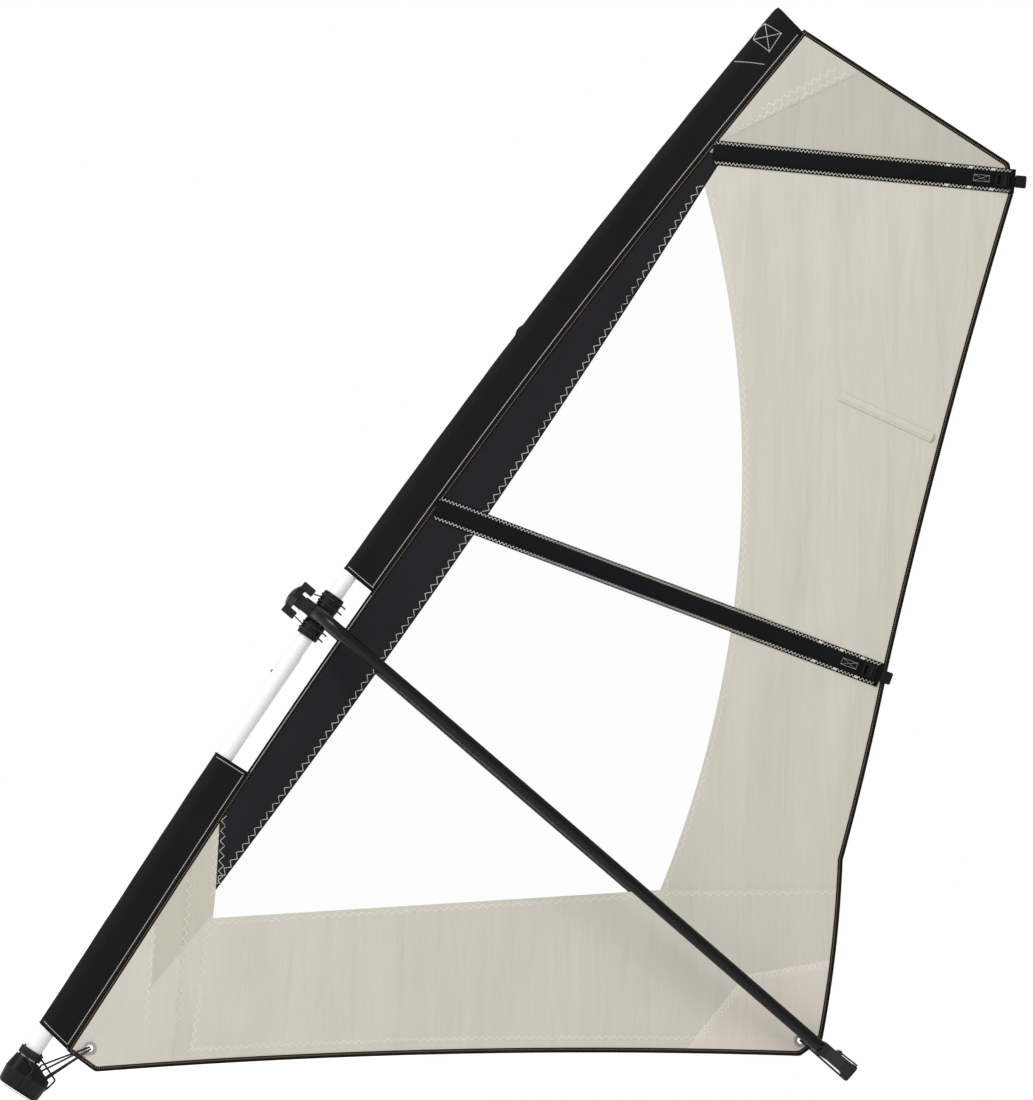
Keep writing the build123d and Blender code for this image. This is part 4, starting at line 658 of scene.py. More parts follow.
def tube(points, radius, sides=12, step=1.6):
    """A round tube in mm along a smooth curve through control points; returns vertices, faces and UVs.

    The curve is a NURBS spline of order 3. Rings use a frame carried along without twist.
    """
    data = bpy.data.curves.new("route", "CURVE")
    data.dimensions = "3D"
    spline = data.splines.new("NURBS")
    spline.points.add(len(points) - 1)
    for control, place in zip(spline.points, points):
        control.co = (*place, 1.0)
    spline.order_u = 3
    spline.use_endpoint_u = True
    spline.resolution_u = 12
    holder = bpy.data.objects.new("route", data)
    mesh = bpy.data.meshes.new_from_object(holder)
    line = np.array([v.co[:] for v in mesh.vertices])
    bpy.data.objects.remove(holder)
    bpy.data.curves.remove(data)
    bpy.data.meshes.remove(mesh)
    return tube_along(line, radius, sides, step)


def tube_along(line, radius, sides=12, step=1.6):
    """A round tube in mm along given points, respaced evenly; returns vertices, faces and UVs in metres."""
    length = distance_along(line)[-1]
    places = np.linspace(0, length, max(3, int(length / step)))
    line = points_at(line, places)
    tangent = unit(np.gradient(line, axis=0))
    normal = np.cross(tangent[0], [0.3, 0.9, 0.2])
    normals = []
    for direction in tangent:
        normal = unit(normal - direction * (normal @ direction))
        normals.append(normal)
    normals = np.array(normals)
    second = np.cross(tangent, normals)
    t = np.linspace(0, 2 * np.pi, sides, endpoint=False)
    outward = np.cos(t)[None, :, None] * normals[:, None] + np.sin(t)[None, :, None] * second[:, None]
    vertices, faces = loft((line[:, None] + radius * outward)[:, ::-1])
    uv = np.stack(np.broadcast_arrays(places[:, None] * MM, (t * radius * MM)[None, ::-1]), -1).reshape(-1, 2)
    return vertices, faces, uv


def rope(name, tubes, node, body="mast", material=BRAID):
    """One object from several tubes; it carries the UV map "braid" and rides on a body."""
    vertices, faces, uvs, start = [], [], [], 0
    for some_vertices, some_faces, uv in tubes:
        vertices.append(some_vertices)
        uvs.append(uv)
        faces += [[start + i for i in face] for face in some_faces]
        start += len(some_vertices)
    piece = make_object(name, np.concatenate(vertices) * MM, faces, material, node, body)
    layer = piece.data.uv_layers.new(name="braid")
    corner = np.empty(len(piece.data.loops), int)
    piece.data.loops.foreach_get("vertex_index", corner)
    layer.data.foreach_set("uv", np.concatenate(uvs)[corner].ravel())
    return piece


# %% Stitches
# A stitch's corners as (along, across, up), in lengths, widths and widths: four on the cloth, two on the ridge.
ROOF = ((-.5, -.5, 0), (.5, -.5, 0), (.5, .5, 0), (-.5, .5, 0), (-.34, 0, .45), (.34, 0, .45))
ROOF_FACES = ((0, 1, 5, 4), (2, 3, 4, 5), (1, 2, 5), (3, 0, 4), (3, 2, 1, 0))


def roof_faces(count, start, turned):
    """The faces of count stitches whose corners are numbered from start, turned over if asked."""
    first = start + np.arange(count)[:, None] * len(ROOF)
    return [face for shape in ROOF_FACES for face in (first + np.array(shape[::-1] if turned else shape)).tolist()]


def zigzag(line, pitch, amplitude):
    """Middles, directions and lengths of a zigzag's slanted stitches along a line."""
    places = np.arange(pitch / 4, distance_along(line)[-1], pitch / 2)
    on_line = points_at(line, places)
    step = unit(np.gradient(on_line, axis=0))
    swing = np.where(np.arange(len(places)) % 2, amplitude, -amplitude)[:, None]
    corners = on_line + to_right(step) * swing
    run = np.diff(corners, axis=0)
    length = np.linalg.norm(run, axis=1)
    return (corners[:-1] + corners[1:]) / 2, run / length[:, None], length


def running(line, pitch, length):
    """Middles, directions and lengths of straight stitches along a line."""
    places = np.arange(pitch / 2, distance_along(line)[-1], pitch)
    step = unit(points_at(line, places + 0.1) - points_at(line, places - 0.1))
    return points_at(line, places), step, np.full(len(places), float(length))


def sew(name, rows, width, lift, material, sides=(-1, 1)):
    """Stitches as roof shapes on the cloth: a base on its face and a ridge 0.45 of the width above it."""
    middle, step, length = (np.concatenate([row[k] for row in rows]) for k in range(3))
    relief = ripple(middle)
    vertices, faces = [], []
    for side in sides:
        points = []
        for a, b, up in ROOF:
            flat = middle + step * (length * a)[:, None] + to_right(step) * (width * b)
            points.append(np.stack([flat[:, 0], relief + side * (lift + width * up), flat[:, 1]], -1))
        faces += roof_faces(len(middle), sum(len(v) for v in vertices), side > 0)
        vertices.append(np.stack(points, 1).reshape(-1, 3))
    return make_object(name, np.concatenate(vertices) * MM, faces, material, smooth=False)


# %% [markdown]
# ## Edge bindings
# Black tape is folded over the sail's whole edge and sewn with a fine tan thread. The tape is cut in
# five lengths that meet at the tack, the head and the ends of the battens.

# %% Tape round the outline
loop = np.vstack([outline, outline[:1]])
start_at = int(np.argmin(np.linalg.norm(loop[:20] - [60, 163], axis=1)))
luff_top, upper_cut, lower_cut, clew_cut = (
    int(place_near(loop, spot)) for spot in (luff_line[-1], UPPER_LEECH, LOWER_LEECH, (1434.0, 1026.0)))
tapes = {
    "binding_luff": loop[start_at:luff_top + 1],
    "binding_head": loop[luff_top:upper_cut + 1],
    "binding_leech_upper": loop[upper_cut:lower_cut + 1],
    "binding_leech_lower": loop[lower_cut:clew_cut + 1],
    "binding_foot": np.vstack([loop[clew_cut:], loop[1:start_at + 1]]),
}
tapes = {node: round_corners(line) for node, line in tapes.items()}
for node, line in tapes.items():
    tape(node, line, 5.5, 11.0, 3.0, BINDING_TAPE, node)
fine_rows = [running(moved(line, 7.0), 4.6, 2.0) for line in tapes.values()]
sew("binding_stitches", fine_rows, 2.6, 1.45, TAN_THREAD)
print("bindings", sum(len(line) for line in tapes.values()), "rings")

# %% [markdown]
# ## Luff sleeves
# The mast slides into a cloth sleeve whose section is a circle with two tangents meeting at the seam,
# 60 mm behind the mast's middle. Its ends are cut on a slant and hemmed over a cord, so each ring of
# the grid leans with the hem. A snap button lifts the upper sleeve in one small bump.

# %% Sleeve grid
LOW_R, UP_R = 21.9, 18.4


def sleeve_section(radius, tail=LUFF_OFFSET, half=1.2, arc_points=30, side_points=5):
    """(aft, y) round a circle and its two tangents: the tangent point is at the angle acos(radius / tail)."""
    turn = np.arccos(radius / tail)
    round_part = np.linspace(turn, 2 * np.pi - turn, arc_points)
    circle = radius * np.stack([np.cos(round_part), np.sin(round_part)], -1)
    share = np.linspace(0, 1, side_points, endpoint=False)[:, None]
    upper = np.array([tail, half]) * (1 - share) + circle[0] * share
    lower = circle[-1] * share[::-1] + np.array([tail, -half]) * (1 - share[::-1])
    return np.concatenate([upper, circle, lower])


def sleeve(name, radius, low, high, bumps=(), close_top=False):
    """A cloth tube between slanted hems; low and high are (height at the front, height at the seam)."""
    section = sleeve_section(radius)
    slant = (section[:, 0] + radius) / (LUFF_OFFSET + radius)
    bottom = low[0] + (low[1] - low[0]) * slant
    top = high[0] + (high[1] - high[0]) * slant
    count = int((high[0] - low[0]) / 9)
    rings = []
    for share in np.linspace(0, 1, count):
        height = bottom + (top - bottom) * share
        angle = np.arctan2(section[:, 1], section[:, 0])
        free = np.clip((LUFF_OFFSET - section[:, 0]) / 30, 0, 1)
        push = 0.35 * free * (np.sin(height / 23 + 2 * angle) * np.sin(height / 97) - 0.4)
        for spot in bumps:
            reach = np.hypot(height - spot, angle_from_front(angle) * radius)
            push = push + 5.6 * np.exp(-(reach / 8) ** 2)
        size = np.hypot(section[:, 0], section[:, 1])
        swollen = section * (1 + push / size)[:, None]
        if close_top:
            left = (top - height).min()
            shrink = 1 - 0.3 * np.clip(1 - left / 9, 0, 1) ** 2
            aft, y = swollen.T
            swollen = np.stack([np.where(aft < 0, aft * (0.5 + shrink / 2), aft),
                                y * np.where(aft < 30, 0.3 + 0.7 * shrink, 1)], -1)
        place = mast_at(height, swollen[:, 0])
        rings.append(np.stack([place[:, 0], swollen[:, 1], place[:, 1]], -1))
    vertices, faces = loft(np.array(rings)[:, ::-1], closed_ends=False)
    if close_top:
        faces.append([len(vertices) - 1 - i for i in range(len(section))])
    piece = make_object(name, vertices * MM, faces, SLEEVE_CLOTH, name)
    wall = piece.modifiers.new("wall", "SOLIDIFY")
    wall.thickness, wall.offset = 0.9 * MM, -1.0
    even_normals(piece)
    return rings


def angle_from_front(angle):
    """Angle from the mast's forward side, in radians, always positive."""
    return np.abs(np.pi - np.abs(angle))


lower_rings = sleeve("luff_sleeve_lower", LOW_R, (154.0, 137.0), (859.0, 861.0))
upper_rings = sleeve("luff_sleeve_upper", UP_R, (1353.0, 1346.5), (2917.5, 2911.0), bumps=[2003.0],
                     close_top=True)


def hem(ring, radius=1.3):
    """Piping along a sleeve's end: a closed round tube through the ring's points."""
    return tube_along(np.vstack([ring, ring[:1]]), radius, sides=8, step=3.0)


hem_tubes = [hem(ring) for ring in (lower_rings[0], lower_rings[-1], upper_rings[0])]
rope("sleeve_piping", hem_tubes, (), material=BINDING_TAPE)
print("sleeves", len(lower_rings), len(upper_rings), "rings")

# %% Stitches on the sleeves
def on_sleeve(radius, height, aft):
    """Half-thickness of the sleeve in Y at an offset behind the mast's middle."""
    turn = np.arccos(radius / LUFF_OFFSET)
    knee = radius * np.cos(turn)
    round_y = np.sqrt(np.maximum(radius ** 2 - np.minimum(aft, knee) ** 2, 0))
    slope = 1.2 + (radius * np.sin(turn) - 1.2) * (LUFF_OFFSET - aft) / (LUFF_OFFSET - knee)
    return np.where(aft < knee, round_y, slope)


def sew_on_sleeve(name, radius, paths, material, width=1.8, length=4.6, pitch=5.6):
    """Stitches along (height, aft) paths on both faces of a sleeve, as bars that follow its curve."""
    vertices, faces, start = [], [], 0
    for path in paths:
        middle, step, _ = running(np.array(path, float), pitch, length)
        for side in (-1, 1):
            corners = []
            for a, b, up in ROOF:
                spot = middle + step * (length * a) + to_right(step) * (width * b)
                y = side * (on_sleeve(radius, spot[:, 0], spot[:, 1]) + 0.1 + 0.6 * width * up)
                place = mast_at(spot[:, 0], spot[:, 1])
                corners.append(np.stack([place[:, 0], y, place[:, 1]], -1))
            faces += roof_faces(len(middle), start, side < 0)
            vertices.append(np.stack(corners, 1).reshape(-1, 3))
            start += len(vertices[-1])
    return make_object(name, np.concatenate(vertices) * MM, faces, material, smooth=False)


def hem_path(front, back, radius):
    """(height, aft) along a hem, from the mast's forward side to the seam."""
    return [(front, -radius * 0.7), ((front + back) / 2, 20), (back, 57)]


def beside_mast(*spots):
    """(height, aft) of points given as (X, Z) in mm, above the mast's straight part."""
    x, z = np.array(spots, float).T
    height = BEND_START + BEND_RADIUS * np.arctan2(z - BEND_START, BEND_RADIUS - x)
    return np.stack([height, BEND_RADIUS - np.hypot(BEND_RADIUS - x, z - BEND_START)], -1)


sew_on_sleeve("sleeve_stitches_lower", LOW_R, [
    [(145, 56.5), (853, 56.5)], hem_path(161, 145, LOW_R), hem_path(852, 854, LOW_R)], GREY_THREAD)
box = [(121, 2866), (163, 2868), (163, 2820), (119, 2822)]
bowed = [(121, 2866), (116.5, 2855), (115.5, 2844), (116.5, 2832), (119, 2822)]
box_runs = [beside_mast(box[i], box[j]) for i, j in ((0, 1), (1, 2), (2, 3), (0, 2), (1, 3))]
sew_on_sleeve("sleeve_stitches_upper", UP_R, [
    [(1354, 56.5), (2900, 56.5)], hem_path(1360, 1354, UP_R), *box_runs, beside_mast(*bowed),
    beside_mast((110, 2759), (128, 2769), (148, 2780), (170, 2791))], GREY_THREAD)

# %% [markdown]
# ## Batten pockets and tension straps
# A pocket is heavy black webbing folded over the batten, thin at its sewn edges and raised in the
# middle. The strap that tightens the batten is a second, narrower webbing that runs through a buckle.

# %% Webbing strips along a batten
def batten_axes(line):
    """A batten line's start, its direction and the direction square to it."""
    a, b = np.array(line, float)
    ahead = unit(b - a)
    return a, ahead, np.array([-ahead[1], ahead[0]])


def beside(line, start, end, across):
    """A run beside a batten's line, from one place along it to another."""
    a, ahead, side = batten_axes(line)
    return straight(a + ahead * start + side * across, a + ahead * end + side * across, 10)


def strip(name, line, start, end, profile, material, node, round_start=0.0, round_end=0.0, wave=0.0):
    """Webbing along a line: profile is rows of (across, back, front), heights toward -Y in mm.

    Ends are rounded by narrowing the last rings as a circle of the given radius does.
    """
    a, ahead, side = batten_axes(line)
    finer = np.array([0, .1, .3, .6, 1])
    places = np.unique(np.concatenate([np.arange(start, end, 8.0), [end], start + round_start * finer,
                                       end - round_end * finer]))
    across, back, front = np.array(profile, float).T
    rings = []
    for place in places:
        narrow = 1.0
        for radius, left in ((round_start, place - start), (round_end, end - place)):
            if radius and left < radius:
                narrow = min(narrow, np.sqrt(max(1 - (1 - left / radius) ** 2, 0.02)))
        middle = a + ahead * place
        flat = middle + side * (across * narrow)[:, None]
        lift = wave * np.sin(place / 37) * np.sin(place / 11 + 1)
        outer = np.stack([flat[:, 0], -(front + lift * (front > 2)), flat[:, 1]], -1)
        inner = np.stack([flat[::-1, 0], -back[::-1], flat[::-1, 1]], -1)
        rings.append(np.concatenate([outer, inner]))
    vertices, faces = loft(rings)
    piece = make_object(name, vertices * MM, faces, material, node)
    return piece


def mirrored(half):
    """A profile from its rows left of the middle and its middle row."""
    return half + [(-across, back, front) for across, back, front in half[-2::-1]]


WIDE = mirrored([(-27, 1.3, 2.3), (-26.4, 1.3, 2.7), (-19, 1.3, 3.0), (-16, 1.3, 4.4), (-14, 1.3, 6.2),
                 (-11, 1.3, 6.9), (0, 1.3, 7.1)])
NARROW = mirrored([(-10, 1.3, 2.0), (-9.5, 1.3, 2.4), (-6.5, 1.3, 2.8), (-5, 1.3, 4.2), (0, 1.3, 4.6)])
STRAP = mirrored([(-10, 7.5, 8.2), (-9.6, 7.4, 8.6), (-5, 7.4, 8.8), (0, 7.4, 8.85)])
UPPER_LENGTH, LOWER_LENGTH, SHORT_LENGTH = (
    float(distance_along(np.array(line, float))[-1]) for line in (UPPER_BATTEN, LOWER_BATTEN, SHORT_BATTEN))
LONG_BATTENS = (("upper", UPPER_BATTEN, UPPER_LENGTH, "tension_straps"), ("lower", LOWER_BATTEN, LOWER_LENGTH, ()))
for place, line, length, _ in LONG_BATTENS:
    node = f"batten_pocket_{place}"
    strip(node, line, 0, length, WIDE, WEBBING, node, round_start=6, wave=0.15)
strip("batten_pocket_short", SHORT_BATTEN, 0, SHORT_LENGTH, NARROW, SAILCLOTH, "batten_pocket_short",
      round_start=2)
for place, line, length, straps in LONG_BATTENS:
    strip(f"tension_strap_{place}", line, length - 96, length + 20, STRAP, WEBBING, straps,
          round_start=4, round_end=6)


# %% Stitches of the pockets
STRAP_BOX = ((92, 7), (57.5, 7), (57.5, -7), (92, -7))  # corners: distance from the pocket's end, across
pocket_rows, bar_rows, box_rows = [], [], []
for _, line, length, _ in LONG_BATTENS:
    for across in (-22, 22):
        pocket_rows.append(zigzag(beside(line, 4, length - 6, across), 8.4, 3.0))
    for place in np.arange(length - 150, length - 10, 50):
        for across in (-22, 22):
            bar_rows.append(zigzag(beside(line, place - 5, place + 5, across), 2.2, 2.8))
    bar_rows.append(zigzag(beside(line, 3, 9, 0), 3.0, 20.0))
    corners = [beside(line, length - place, length, across)[0] for place, across in STRAP_BOX]
    for i, j in ((0, 1), (1, 2), (2, 3), (3, 0), (0, 2), (1, 3)):
        box_rows.append(running(straight(corners[i], corners[j], 5), 3.2, 2.6))
short_rows = [running(beside(SHORT_BATTEN, 3, SHORT_LENGTH - 3, across), 4.4, 3.4) for across in (-8.0, 8.0)]
sew("short_pocket_stitches", short_rows, 1.1, 2.5, CREAM_THREAD, sides=(-1,))
sew("pocket_stitches", pocket_rows, 1.0, 2.95, CREAM_THREAD, sides=(-1,))
sew("pocket_bartacks", bar_rows, 0.9, 2.95, CREAM_THREAD, sides=(-1,))
sew("strap_box_stitches", box_rows, 0.7, 8.75, GREY_THREAD, sides=(-1,))

# %% [markdown]
# ## Seams of the sail
# Panels are joined by zigzag rows that run beside each seam. The black luff panel has one wide grey
# zigzag inside its aft edge, and each doubled patch has its own row.

# %% Panel seams
luff_row = mast_at(np.arange(866.0, 1345.0, 10.0), 66.0)
sew("luff_tape_stitches", [running(luff_row, 5.6, 4.6)], 1.8, 1.5, GREY_THREAD)
grey_rows = [zigzag(moved(luff_seam, -9.0), 22.0, 5.5),
             zigzag(moved(straight(luff_line[int(apex)], LUFF_PANEL_FOOT), -9.0), 22.0, 5.5)]
sew("luff_panel_stitches", grey_rows, 1.6, 0.5, GREY_THREAD)
foot_row = moved(stretch(foot_line, place_near(foot_line, (1415, 990)), tack_foot[0]), 33)
seam_rows = [
    zigzag(straight((78, 716), (148, 589), 10), 21.0, 5.0), zigzag(straight((163, 556), (292, 285), 10), 21.0, 5.0),
    zigzag(moved(straight(WINDOW_TACK, WINDOW_CLEW), 12), 19.0, 4.2),
    zigzag(moved(straight(WINDOW_CLEW, seam_leech[1]), 10), 19.0, 4.2),
    zigzag(moved(window_seam, 10), 19.0, 4.2), zigzag(foot_row, 16.0, 4.0)]
sew("seam_stitches", seam_rows, 1.3, 0.55, CREAM_THREAD)
patch_rows = [zigzag(straight((80, 606), (249, 284), 10), 21.0, 5.0),
              zigzag(chain(straight((74, 470), (146, 329), 10), straight((146, 329), (190, 266), 10)), 21.0, 5.0),
              zigzag(straight((194, 2634), (340, 2884), 10), 19.0, 4.5),
              zigzag(straight((216, 2700), (308, 2872), 10), 19.0, 4.5)]
for inset in (0.0, 9.0):
    edge = chain(straight(CLEW_EDGE[0], CLEW_EDGE[1], 10), straight(CLEW_EDGE[1], CLEW_EDGE[2], 10))
    patch_rows.append(zigzag(moved(edge, inset + 4), 12.0, 4.0))
square = np.array([(71, 135), (126, 135), (126, 194), (71, 194), (71, 135)], float)
for i in range(4):
    patch_rows.append(running(straight(square[i], square[i + 1], 5), 4.0, 3.0))
sew("patch_stitches", patch_rows, 1.3, 1.05, CREAM_THREAD)
print("stitches sewn")

# %% [markdown]
# ## Lines
# The downhaul runs four times between the foot's sheaves and the tack's eyelet, then to its cleat and
# round the mast; the outhaul runs from the clew's eyelet round the tail's sheaves to the lever. Both
# are held at both ends, so their routes are the CAD routes, point for point. Closed turns of line lash
# the cuffs to the mast. The outhaul runs from the boom to the sail, which rides on the mast, so it is
# put on no body and its place is baked into its vertices.

# %% Downhaul and outhaul
LINE_RADIUS = 2.2
DOWNHAUL = [
    (33, -9.5, 60), (33, -9.5, 72.5), (33, -9.5, 74), (33, -9.5, 75.4), (33.4, -9.5, 76.5), (34.2, -9.4, 77.6),
    (35.1, -9.4, 78.8), (95.8, -5.5, 161), (96.7, -5.5, 162.2), (98.8, -5.4, 165), (99.7, -3.8, 166.2),
    (99.7, -0.3, 166.2), (99.7, 0, 166.2), (99.7, 3.7, 166.2), (98.9, 5.2, 164.8), (97, 5.1, 161.6),
    (96.3, 5, 160.3), (35.1, 0.4, 56.2), (34.3, 0.3, 54.9), (31.2, 0.1, 49.5), (32.2, 0, 46), (37.7, 0, 43.1),
    (37.9, 0, 43), (43.4, 0, 40.1), (46.9, -0.1, 41.3), (49.5, -0.3, 46.9), (50.2, -0.4, 48.3), (101.4, -5, 157.7),
    (102.1, -5.1, 159), (103.6, -5.2, 162.4), (104.3, -3.7, 163.8), (104.3, -0, 163.8), (104.3, 0, 163.8),
    (104.3, 3.7, 163.8), (103.7, 5.2, 162.3), (102.2, 5.1, 158.9), (101.7, 5, 157.5), (53.1, 0.4, 42.4),
    (52.5, 0.3, 41), (50.2, 0.1, 35.6), (51.6, 0, 32.2), (57, 0, 29.9), (58.4, 0, 29.3), (63.6, 0, 27.1),
    (66.7, 0, 28.4), (68.9, 0, 33.6), (71.2, 0, 38.9), (71.8, 0, 40.3), (72.1, 0.2, 41.6), (72.5, 0.5, 43),
    (72.8, 0.9, 44.4), (75.4, 4.1, 56.7), (75.7, 4.5, 58.1), (76.6, 5.5, 62.2), (75.4, 6.6, 64.7),
    (71.5, 7.9, 66.3), (70.2, 8.3, 66.9), (11.4, 28.6, 91.6)]
DOWNHAUL_TAIL = [
    (-8, -29.8, 77.5), (18.2, -33.3, 62.3), (19.5, -33.5, 61.6), (22.7, -33.9, 59.8), (24, -34.1, 57.4),
    (24, -34.1, 53.8), (24, -34.1, 52.3), (24, -34.1, 8)]
OUTHAUL = [
    (1496.6, 0, 1042.6), (1530.1, 0, 1044.3), (1531.6, 0, 1044.4), (1538.6, 0, 1044.7), (1541.2, 0, 1041.9),
    (1540.3, 0, 1035), (1540.1, 0, 1033.5), (1537.9, 0, 1017.6), (1537.7, 0, 1016.1), (1536.9, 0, 1010.1),
    (1534, -0.1, 1008), (1528, -0.3, 1008.8), (1526.6, -0.4, 1009.1), (1410.7, -5, 1026), (1409.2, -5.1, 1026.2),
    (1405.6, -5.2, 1026.8), (1404, -3.7, 1027), (1404, -0, 1027), (1404, 0.7, 1027), (1404, 3.9, 1027),
    (1405.3, 5.5, 1027.3), (1408.4, 5.9, 1027.9), (1409.9, 6.1, 1028.2), (1435.3, 9.5, 1033.4),
    (1436.8, 9.7, 1033.7), (1438.3, 9.9, 1034.1), (1439.6, 10, 1034.1), (1441.1, 10, 1033.9), (1442.6, 10, 1033.7),
    (1466.7, 10, 1030.4)]


def ring(centre, axis, radius, thick):
    """A closed turn of line: a torus in mm round a centre, square to an axis."""
    axis = unit(np.array(axis, float))
    first = np.cross(axis, [0, 1, 0])
    second = np.cross(axis, first)
    t = np.linspace(0, 2 * np.pi, 97)
    line = np.array(centre) + radius * (np.cos(t)[:, None] * first + np.sin(t)[:, None] * second)
    return tube_along(line, thick, step=1.8)


wraps = [ring((0, 0, 77.5 + 4.7 * turn), (0, 0, 1), 26.1, LINE_RADIUS) for turn in range(4)]
rope("downhaul", [tube(DOWNHAUL, LINE_RADIUS), tube(DOWNHAUL_TAIL, LINE_RADIUS), *wraps], "downhaul_line")
outhaul = rope("outhaul", [tube(OUTHAUL, LINE_RADIUS)], "outhaul_line", body=None)
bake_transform(outhaul)

# %% Lashings of the boom head
HEAD_TURN, TURN_RADIUS = 0.033474, 25.3
HEAD_UP = np.array([np.sin(HEAD_TURN), 0, np.cos(HEAD_TURN)])
HEAD_AFT = np.array([np.cos(HEAD_TURN), 0, -np.sin(HEAD_TURN)])
HEAD_MIDDLE = np.array([10.644, 0, 1235.88])
LASHED_AT = ((28.9, 6), (44.1, -5), (-43.7, 6), (-28.5, -5))
lashings = [ring(HEAD_MIDDLE + HEAD_UP * height, HEAD_UP, TURN_RADIUS, LINE_RADIUS) for height, _ in LASHED_AT]
for height, side in LASHED_AT:
    root = HEAD_MIDDLE + HEAD_UP * height + HEAD_AFT * TURN_RADIUS + np.array([0, side, 0])
    droop = np.array([0, side * 0.12, -1.4])
    lashings.append(tube([root, root + HEAD_AFT * 4, root + HEAD_AFT * 8 + droop * .4, root + HEAD_AFT * 11 + droop],
                         LINE_RADIUS - 0.4, step=1.0))
rope("head_lashings", lashings, "cuff_lashings")

# %% [markdown]
# ## Foam grips
# Each arm of the wishbone wears a foam tube. In plan it is a tight arc round the front and one long
# shallow arc back to the tail, so two circles and a round section give the whole grip.

# %% Grips along the arms
FRONT_BEND, BACK_BEND, BOOM_LENGTH = (74.684, 62.3, 74.684), (520.549, -3209.648, 3376.871), 1470.0
GRIP_RADIUS, ARM_RADIUS = 14.2, 12.2
BOOM_X, BOOM_Z, BOOM_COS, BOOM_SIN = 1.049, 1236.202, .990748, .135716


def on_boom(p, y, q):
    """A point of the boom's own frame, p along it and q above it, in the rig's frame."""
    return (BOOM_X + p * BOOM_COS + q * BOOM_SIN, y, BOOM_Z - p * BOOM_SIN + q * BOOM_COS)


def grip_path(side):
    """(p, y) along an arm: points of the circles FRONT_BEND and BACK_BEND, each (centre p, centre y, radius)."""
    turn = np.radians(np.linspace(180, 97.75, 40))
    front = FRONT_BEND[:2] + FRONT_BEND[2] * np.stack([np.cos(turn), np.sin(turn)], -1)
    p = np.linspace(front[-1, 0], BOOM_LENGTH, 170)[1:]
    back = np.stack([p, BACK_BEND[1] + np.sqrt(BACK_BEND[2] ** 2 - (p - BACK_BEND[0]) ** 2)], -1)
    return np.vstack([front, back]) * (1, side)


def grip(name, side, node):
    """Foam tube round one arm: a circle carried along grip_path, its ends turned in to the arm."""
    path = grip_path(side)
    last = len(path) - 1
    way = unit(np.gradient(path, axis=0))
    angle = np.linspace(0, 2 * np.pi, 40, endpoint=False)
    turned_in = np.array([ARM_RADIUS, 13.4, 14.0])
    radius = np.r_[turned_in, np.full(last - 5, GRIP_RADIUS), turned_in[::-1]][:, None]
    place = np.r_[0, 0, 0.004, np.arange(3, last - 2), last - 0.004, last, last]
    at = np.stack([np.interp(place, np.arange(last + 1), column) for column in (*path.T, *way.T)], -1)
    aside = radius * np.cos(angle)
    rings = on_boom(at[:, :1] - at[:, 3:] * aside, at[:, 1:2] + at[:, 2:3] * aside, radius * np.sin(angle))
    vertices, faces = loft(np.stack(np.broadcast_arrays(*rings), -1)[:, ::-1], closed_ends=False)
    return make_object(name, vertices * MM, faces, FOAM, node, body="boom")


grip("near_foam_grip", -1, "boom_grip_near")
grip("far_foam_grip", 1, "boom_grip_far")
print("grips made")

# %% [markdown]
# ## Ties of the boom head
# Four short ties join the boom's front to the mast's cuffs, two above and two below. Their ends ride on
# different bodies, so the ties are put on no body and their place is baked into their vertices.

# %% Ties
TIE_RADIUS = 1.3
ties = []
for sign, low in ((1, 28.0), (-1, -36.0)):
    for side in (-9.0, 9.0):
        start = np.array(on_boom(-33.1, side, low))
        end = HEAD_MIDDLE - HEAD_AFT * 24.1 + HEAD_UP * 36.3 * sign + np.array([0, side, 0])
        ties.append(tube([start, start * .7 + end * .3, start * .3 + end * .7, end], TIE_RADIUS, sides=10, step=1.0))
head_ties = rope("head_ties_line", ties, "head_ties", body=None)
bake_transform(head_ties)
print("lines laid")

# %% [markdown]
# ## Finishes of the CAD pieces
# Tubes are drawn aluminium, the fittings are moulded nylon with a soft gloss, and pins and the eyelets'
# rims are steel. The boom's arms are black anodised under their grips.

# %% Finish each CAD node
FINISHES = (
    (ALUMINIUM, "mast_foot_tube mast_lower_tube mast_middle_tube mast_top_tube"),
    (BLACK_ARM, "boom_arm_near boom_arm_far"),
    (STEEL, "sail_eyelets foot_sheave_pins tail_sheave_pins snap_button_lower snap_button_upper"),
    (BATTEN_STRIP, "batten_upper batten_lower batten_short"),
    (GLOSSY_MOULDED, "boom_nose_cover boom_front_plate boom_tail_fitting outhaul_lever boom_yoke"),
    (MOULDED, "mast_foot_cup foot_cleat foot_sheave_1 foot_sheave_2 tail_sheave_lower tail_sheave_upper "
              "batten_end_caps mast_top_plug mast_cuffs mast_saddle boom_sockets buckle_frames buckle_bar_upper "
              "buckle_bar_lower"),
)
for finish, names in FINISHES:
    for name in names.split():
        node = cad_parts[name]
        node.data.materials.clear()
        node.data.materials.append(finish)
print("finished", sum(len(names.split()) for _, names in FINISHES), "CAD pieces")

# %% [markdown]
# ## Studio
# A white floor and an even white surround light the rig softly, with one large lamp from the upper
# front left. The surround and the floor read as pure white where nothing is in the way, and the floor
# keeps the contact shadow. Shiny pieces mirror a dimmer surround, so that black fittings stay black. The
# camera is rolled to lay the rig aslant, and stands a little low and left of its aim, so that the far
# arm shows just below the near one.

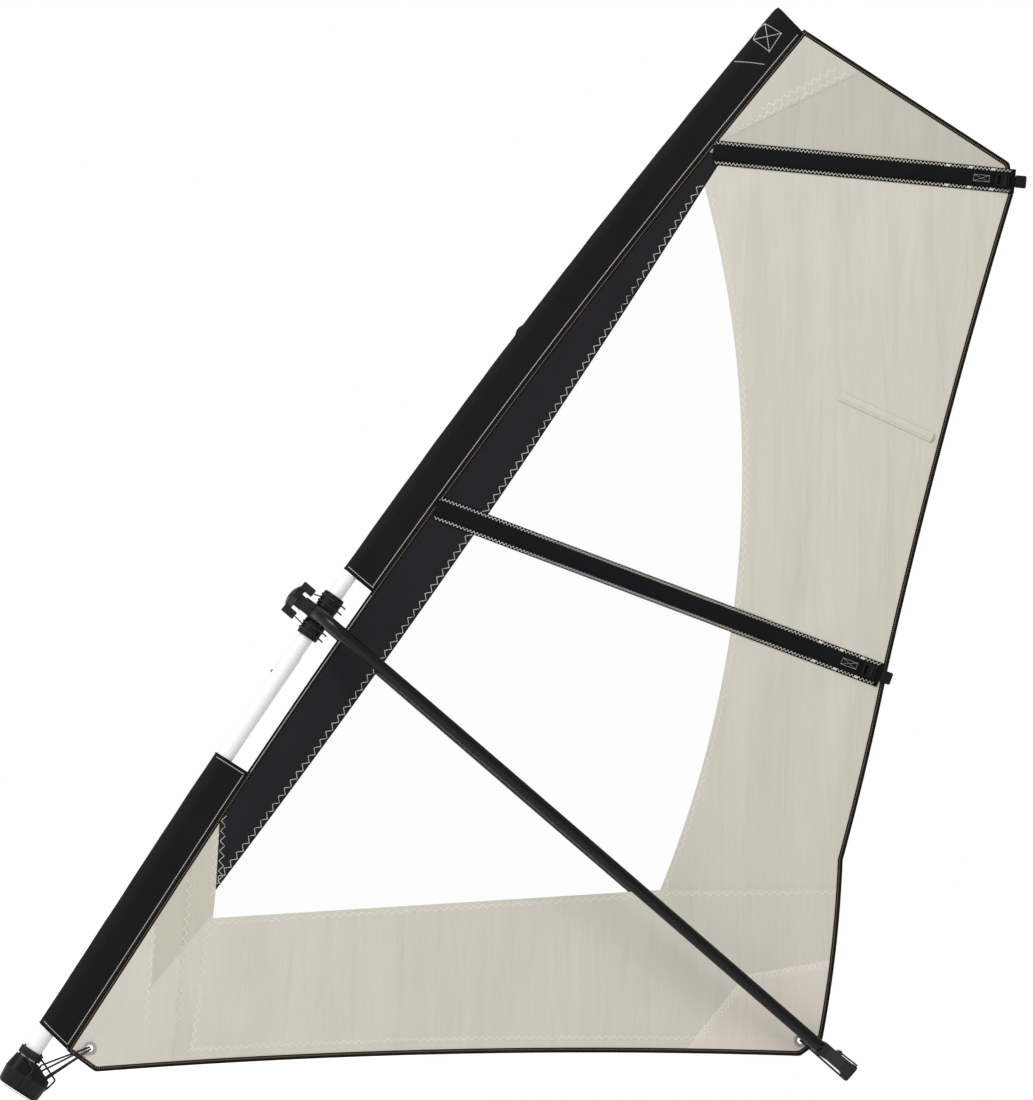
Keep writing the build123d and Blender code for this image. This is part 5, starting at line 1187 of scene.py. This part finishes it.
# %% World
SURROUND, IN_MIRRORS = 0.72, 0.36
world = bpy.data.worlds.new("studio")
bpy.context.scene.world = world
world.use_nodes = True
tree = world.node_tree
tree.nodes.clear()
seen = add_node(tree, "LightPath")
direct = add_node(tree, "Math", {0: seen.outputs["Is Camera Ray"], 1: seen.outputs["Is Transmission Ray"]},
                  operation="MAXIMUM")
strength = add_node(tree, "Math", {0: direct.outputs[0], 1: 1 - SURROUND, 2: SURROUND}, operation="MULTIPLY_ADD")
strength = add_node(tree, "Math", {0: seen.outputs["Is Glossy Ray"], 1: IN_MIRRORS - SURROUND,
                                   2: strength.outputs[0]}, operation="MULTIPLY_ADD")
surround = add_node(tree, "Background", {"Color": (1.0, 1.0, 1.0, 1.0), "Strength": strength.outputs[0]})
out = tree.nodes.new("ShaderNodeOutputWorld")
tree.links.new(surround.outputs[0], out.inputs["Surface"])

# %% Floor
material, tree, join = new_material("white_studio_floor")
place = add_node(tree, "TexCoord").outputs["Object"]
grain = add_node(tree, "TexNoise", {"Vector": place, "Scale": 40.0})
colour = blend_colours(tree, grain.outputs[0], "F4F4F4", "FAFAFA")
matt = add_node(tree, "BsdfDiffuse", {"Color": colour})
glow = add_node(tree, "Emission", {"Color": (1.0, 1.0, 1.0, 1.0), "Strength": 0.5})
camera_only = add_node(tree, "MixShader", {0: add_node(tree, "LightPath").outputs["Is Camera Ray"]})
both = add_node(tree, "AddShader")
tree.links.new(matt.outputs[0], both.inputs[0])
tree.links.new(glow.outputs[0], both.inputs[1])
tree.links.new(matt.outputs[0], camera_only.inputs[1])
tree.links.new(both.outputs[0], camera_only.inputs[2])
join(camera_only)
mesh = bpy.data.meshes.new("floor")
corners = [(-30, -30, -0.004), (30, -30, -0.004), (30, 30, -0.004), (-30, 30, -0.004)]
mesh.from_pydata(corners, [], [(0, 1, 2, 3)])
mesh.materials.append(material)
floor = bpy.data.objects.new("floor", mesh)
bpy.context.scene.collection.objects.link(floor)

# %% Lamps and camera
def area_lamp(name, place, target, size, power):
    """A square area lamp in metres, turned to a target."""
    data = bpy.data.lights.new(name, "AREA")
    data.energy, data.size = power, size
    lamp = bpy.data.objects.new(name, data)
    lamp.location = place
    lamp.rotation_euler = (Vector(target) - Vector(place)).to_track_quat("-Z", "Y").to_euler()
    bpy.context.scene.collection.objects.link(lamp)


area_lamp("key", (-5.0, -4.2, 4.2), (0.7, 0, 1.3), 2.4, 270.0)

AIM, DISTANCE, FRAME_HEIGHT, SENSOR = (0.293, 0.0, 1.593), 18.0, 2.42, 36.0
ASIDE, BELOW = 0.472, 0.549
data = bpy.data.cameras.new("camera")
data.sensor_width = SENSOR
data.lens = SENSOR * DISTANCE / FRAME_HEIGHT
data.clip_end = 100.0
camera = bpy.data.objects.new("camera", data)
right, up = Vector((0.8393, 0, 0.5437)), Vector((-0.5437, 0, 0.8393))
place = Vector(AIM) + Vector((0, -DISTANCE, 0)) - right * ASIDE - up * BELOW
back = (place - Vector(AIM)).normalized()
right = up.cross(back).normalized()
turn = Matrix((right, back.cross(right), back)).transposed().to_4x4()
camera.matrix_world = Matrix.Translation(place) @ turn
bpy.context.scene.collection.objects.link(camera)
bpy.context.scene.camera = camera
bpy.context.scene.view_settings.view_transform = "Standard"
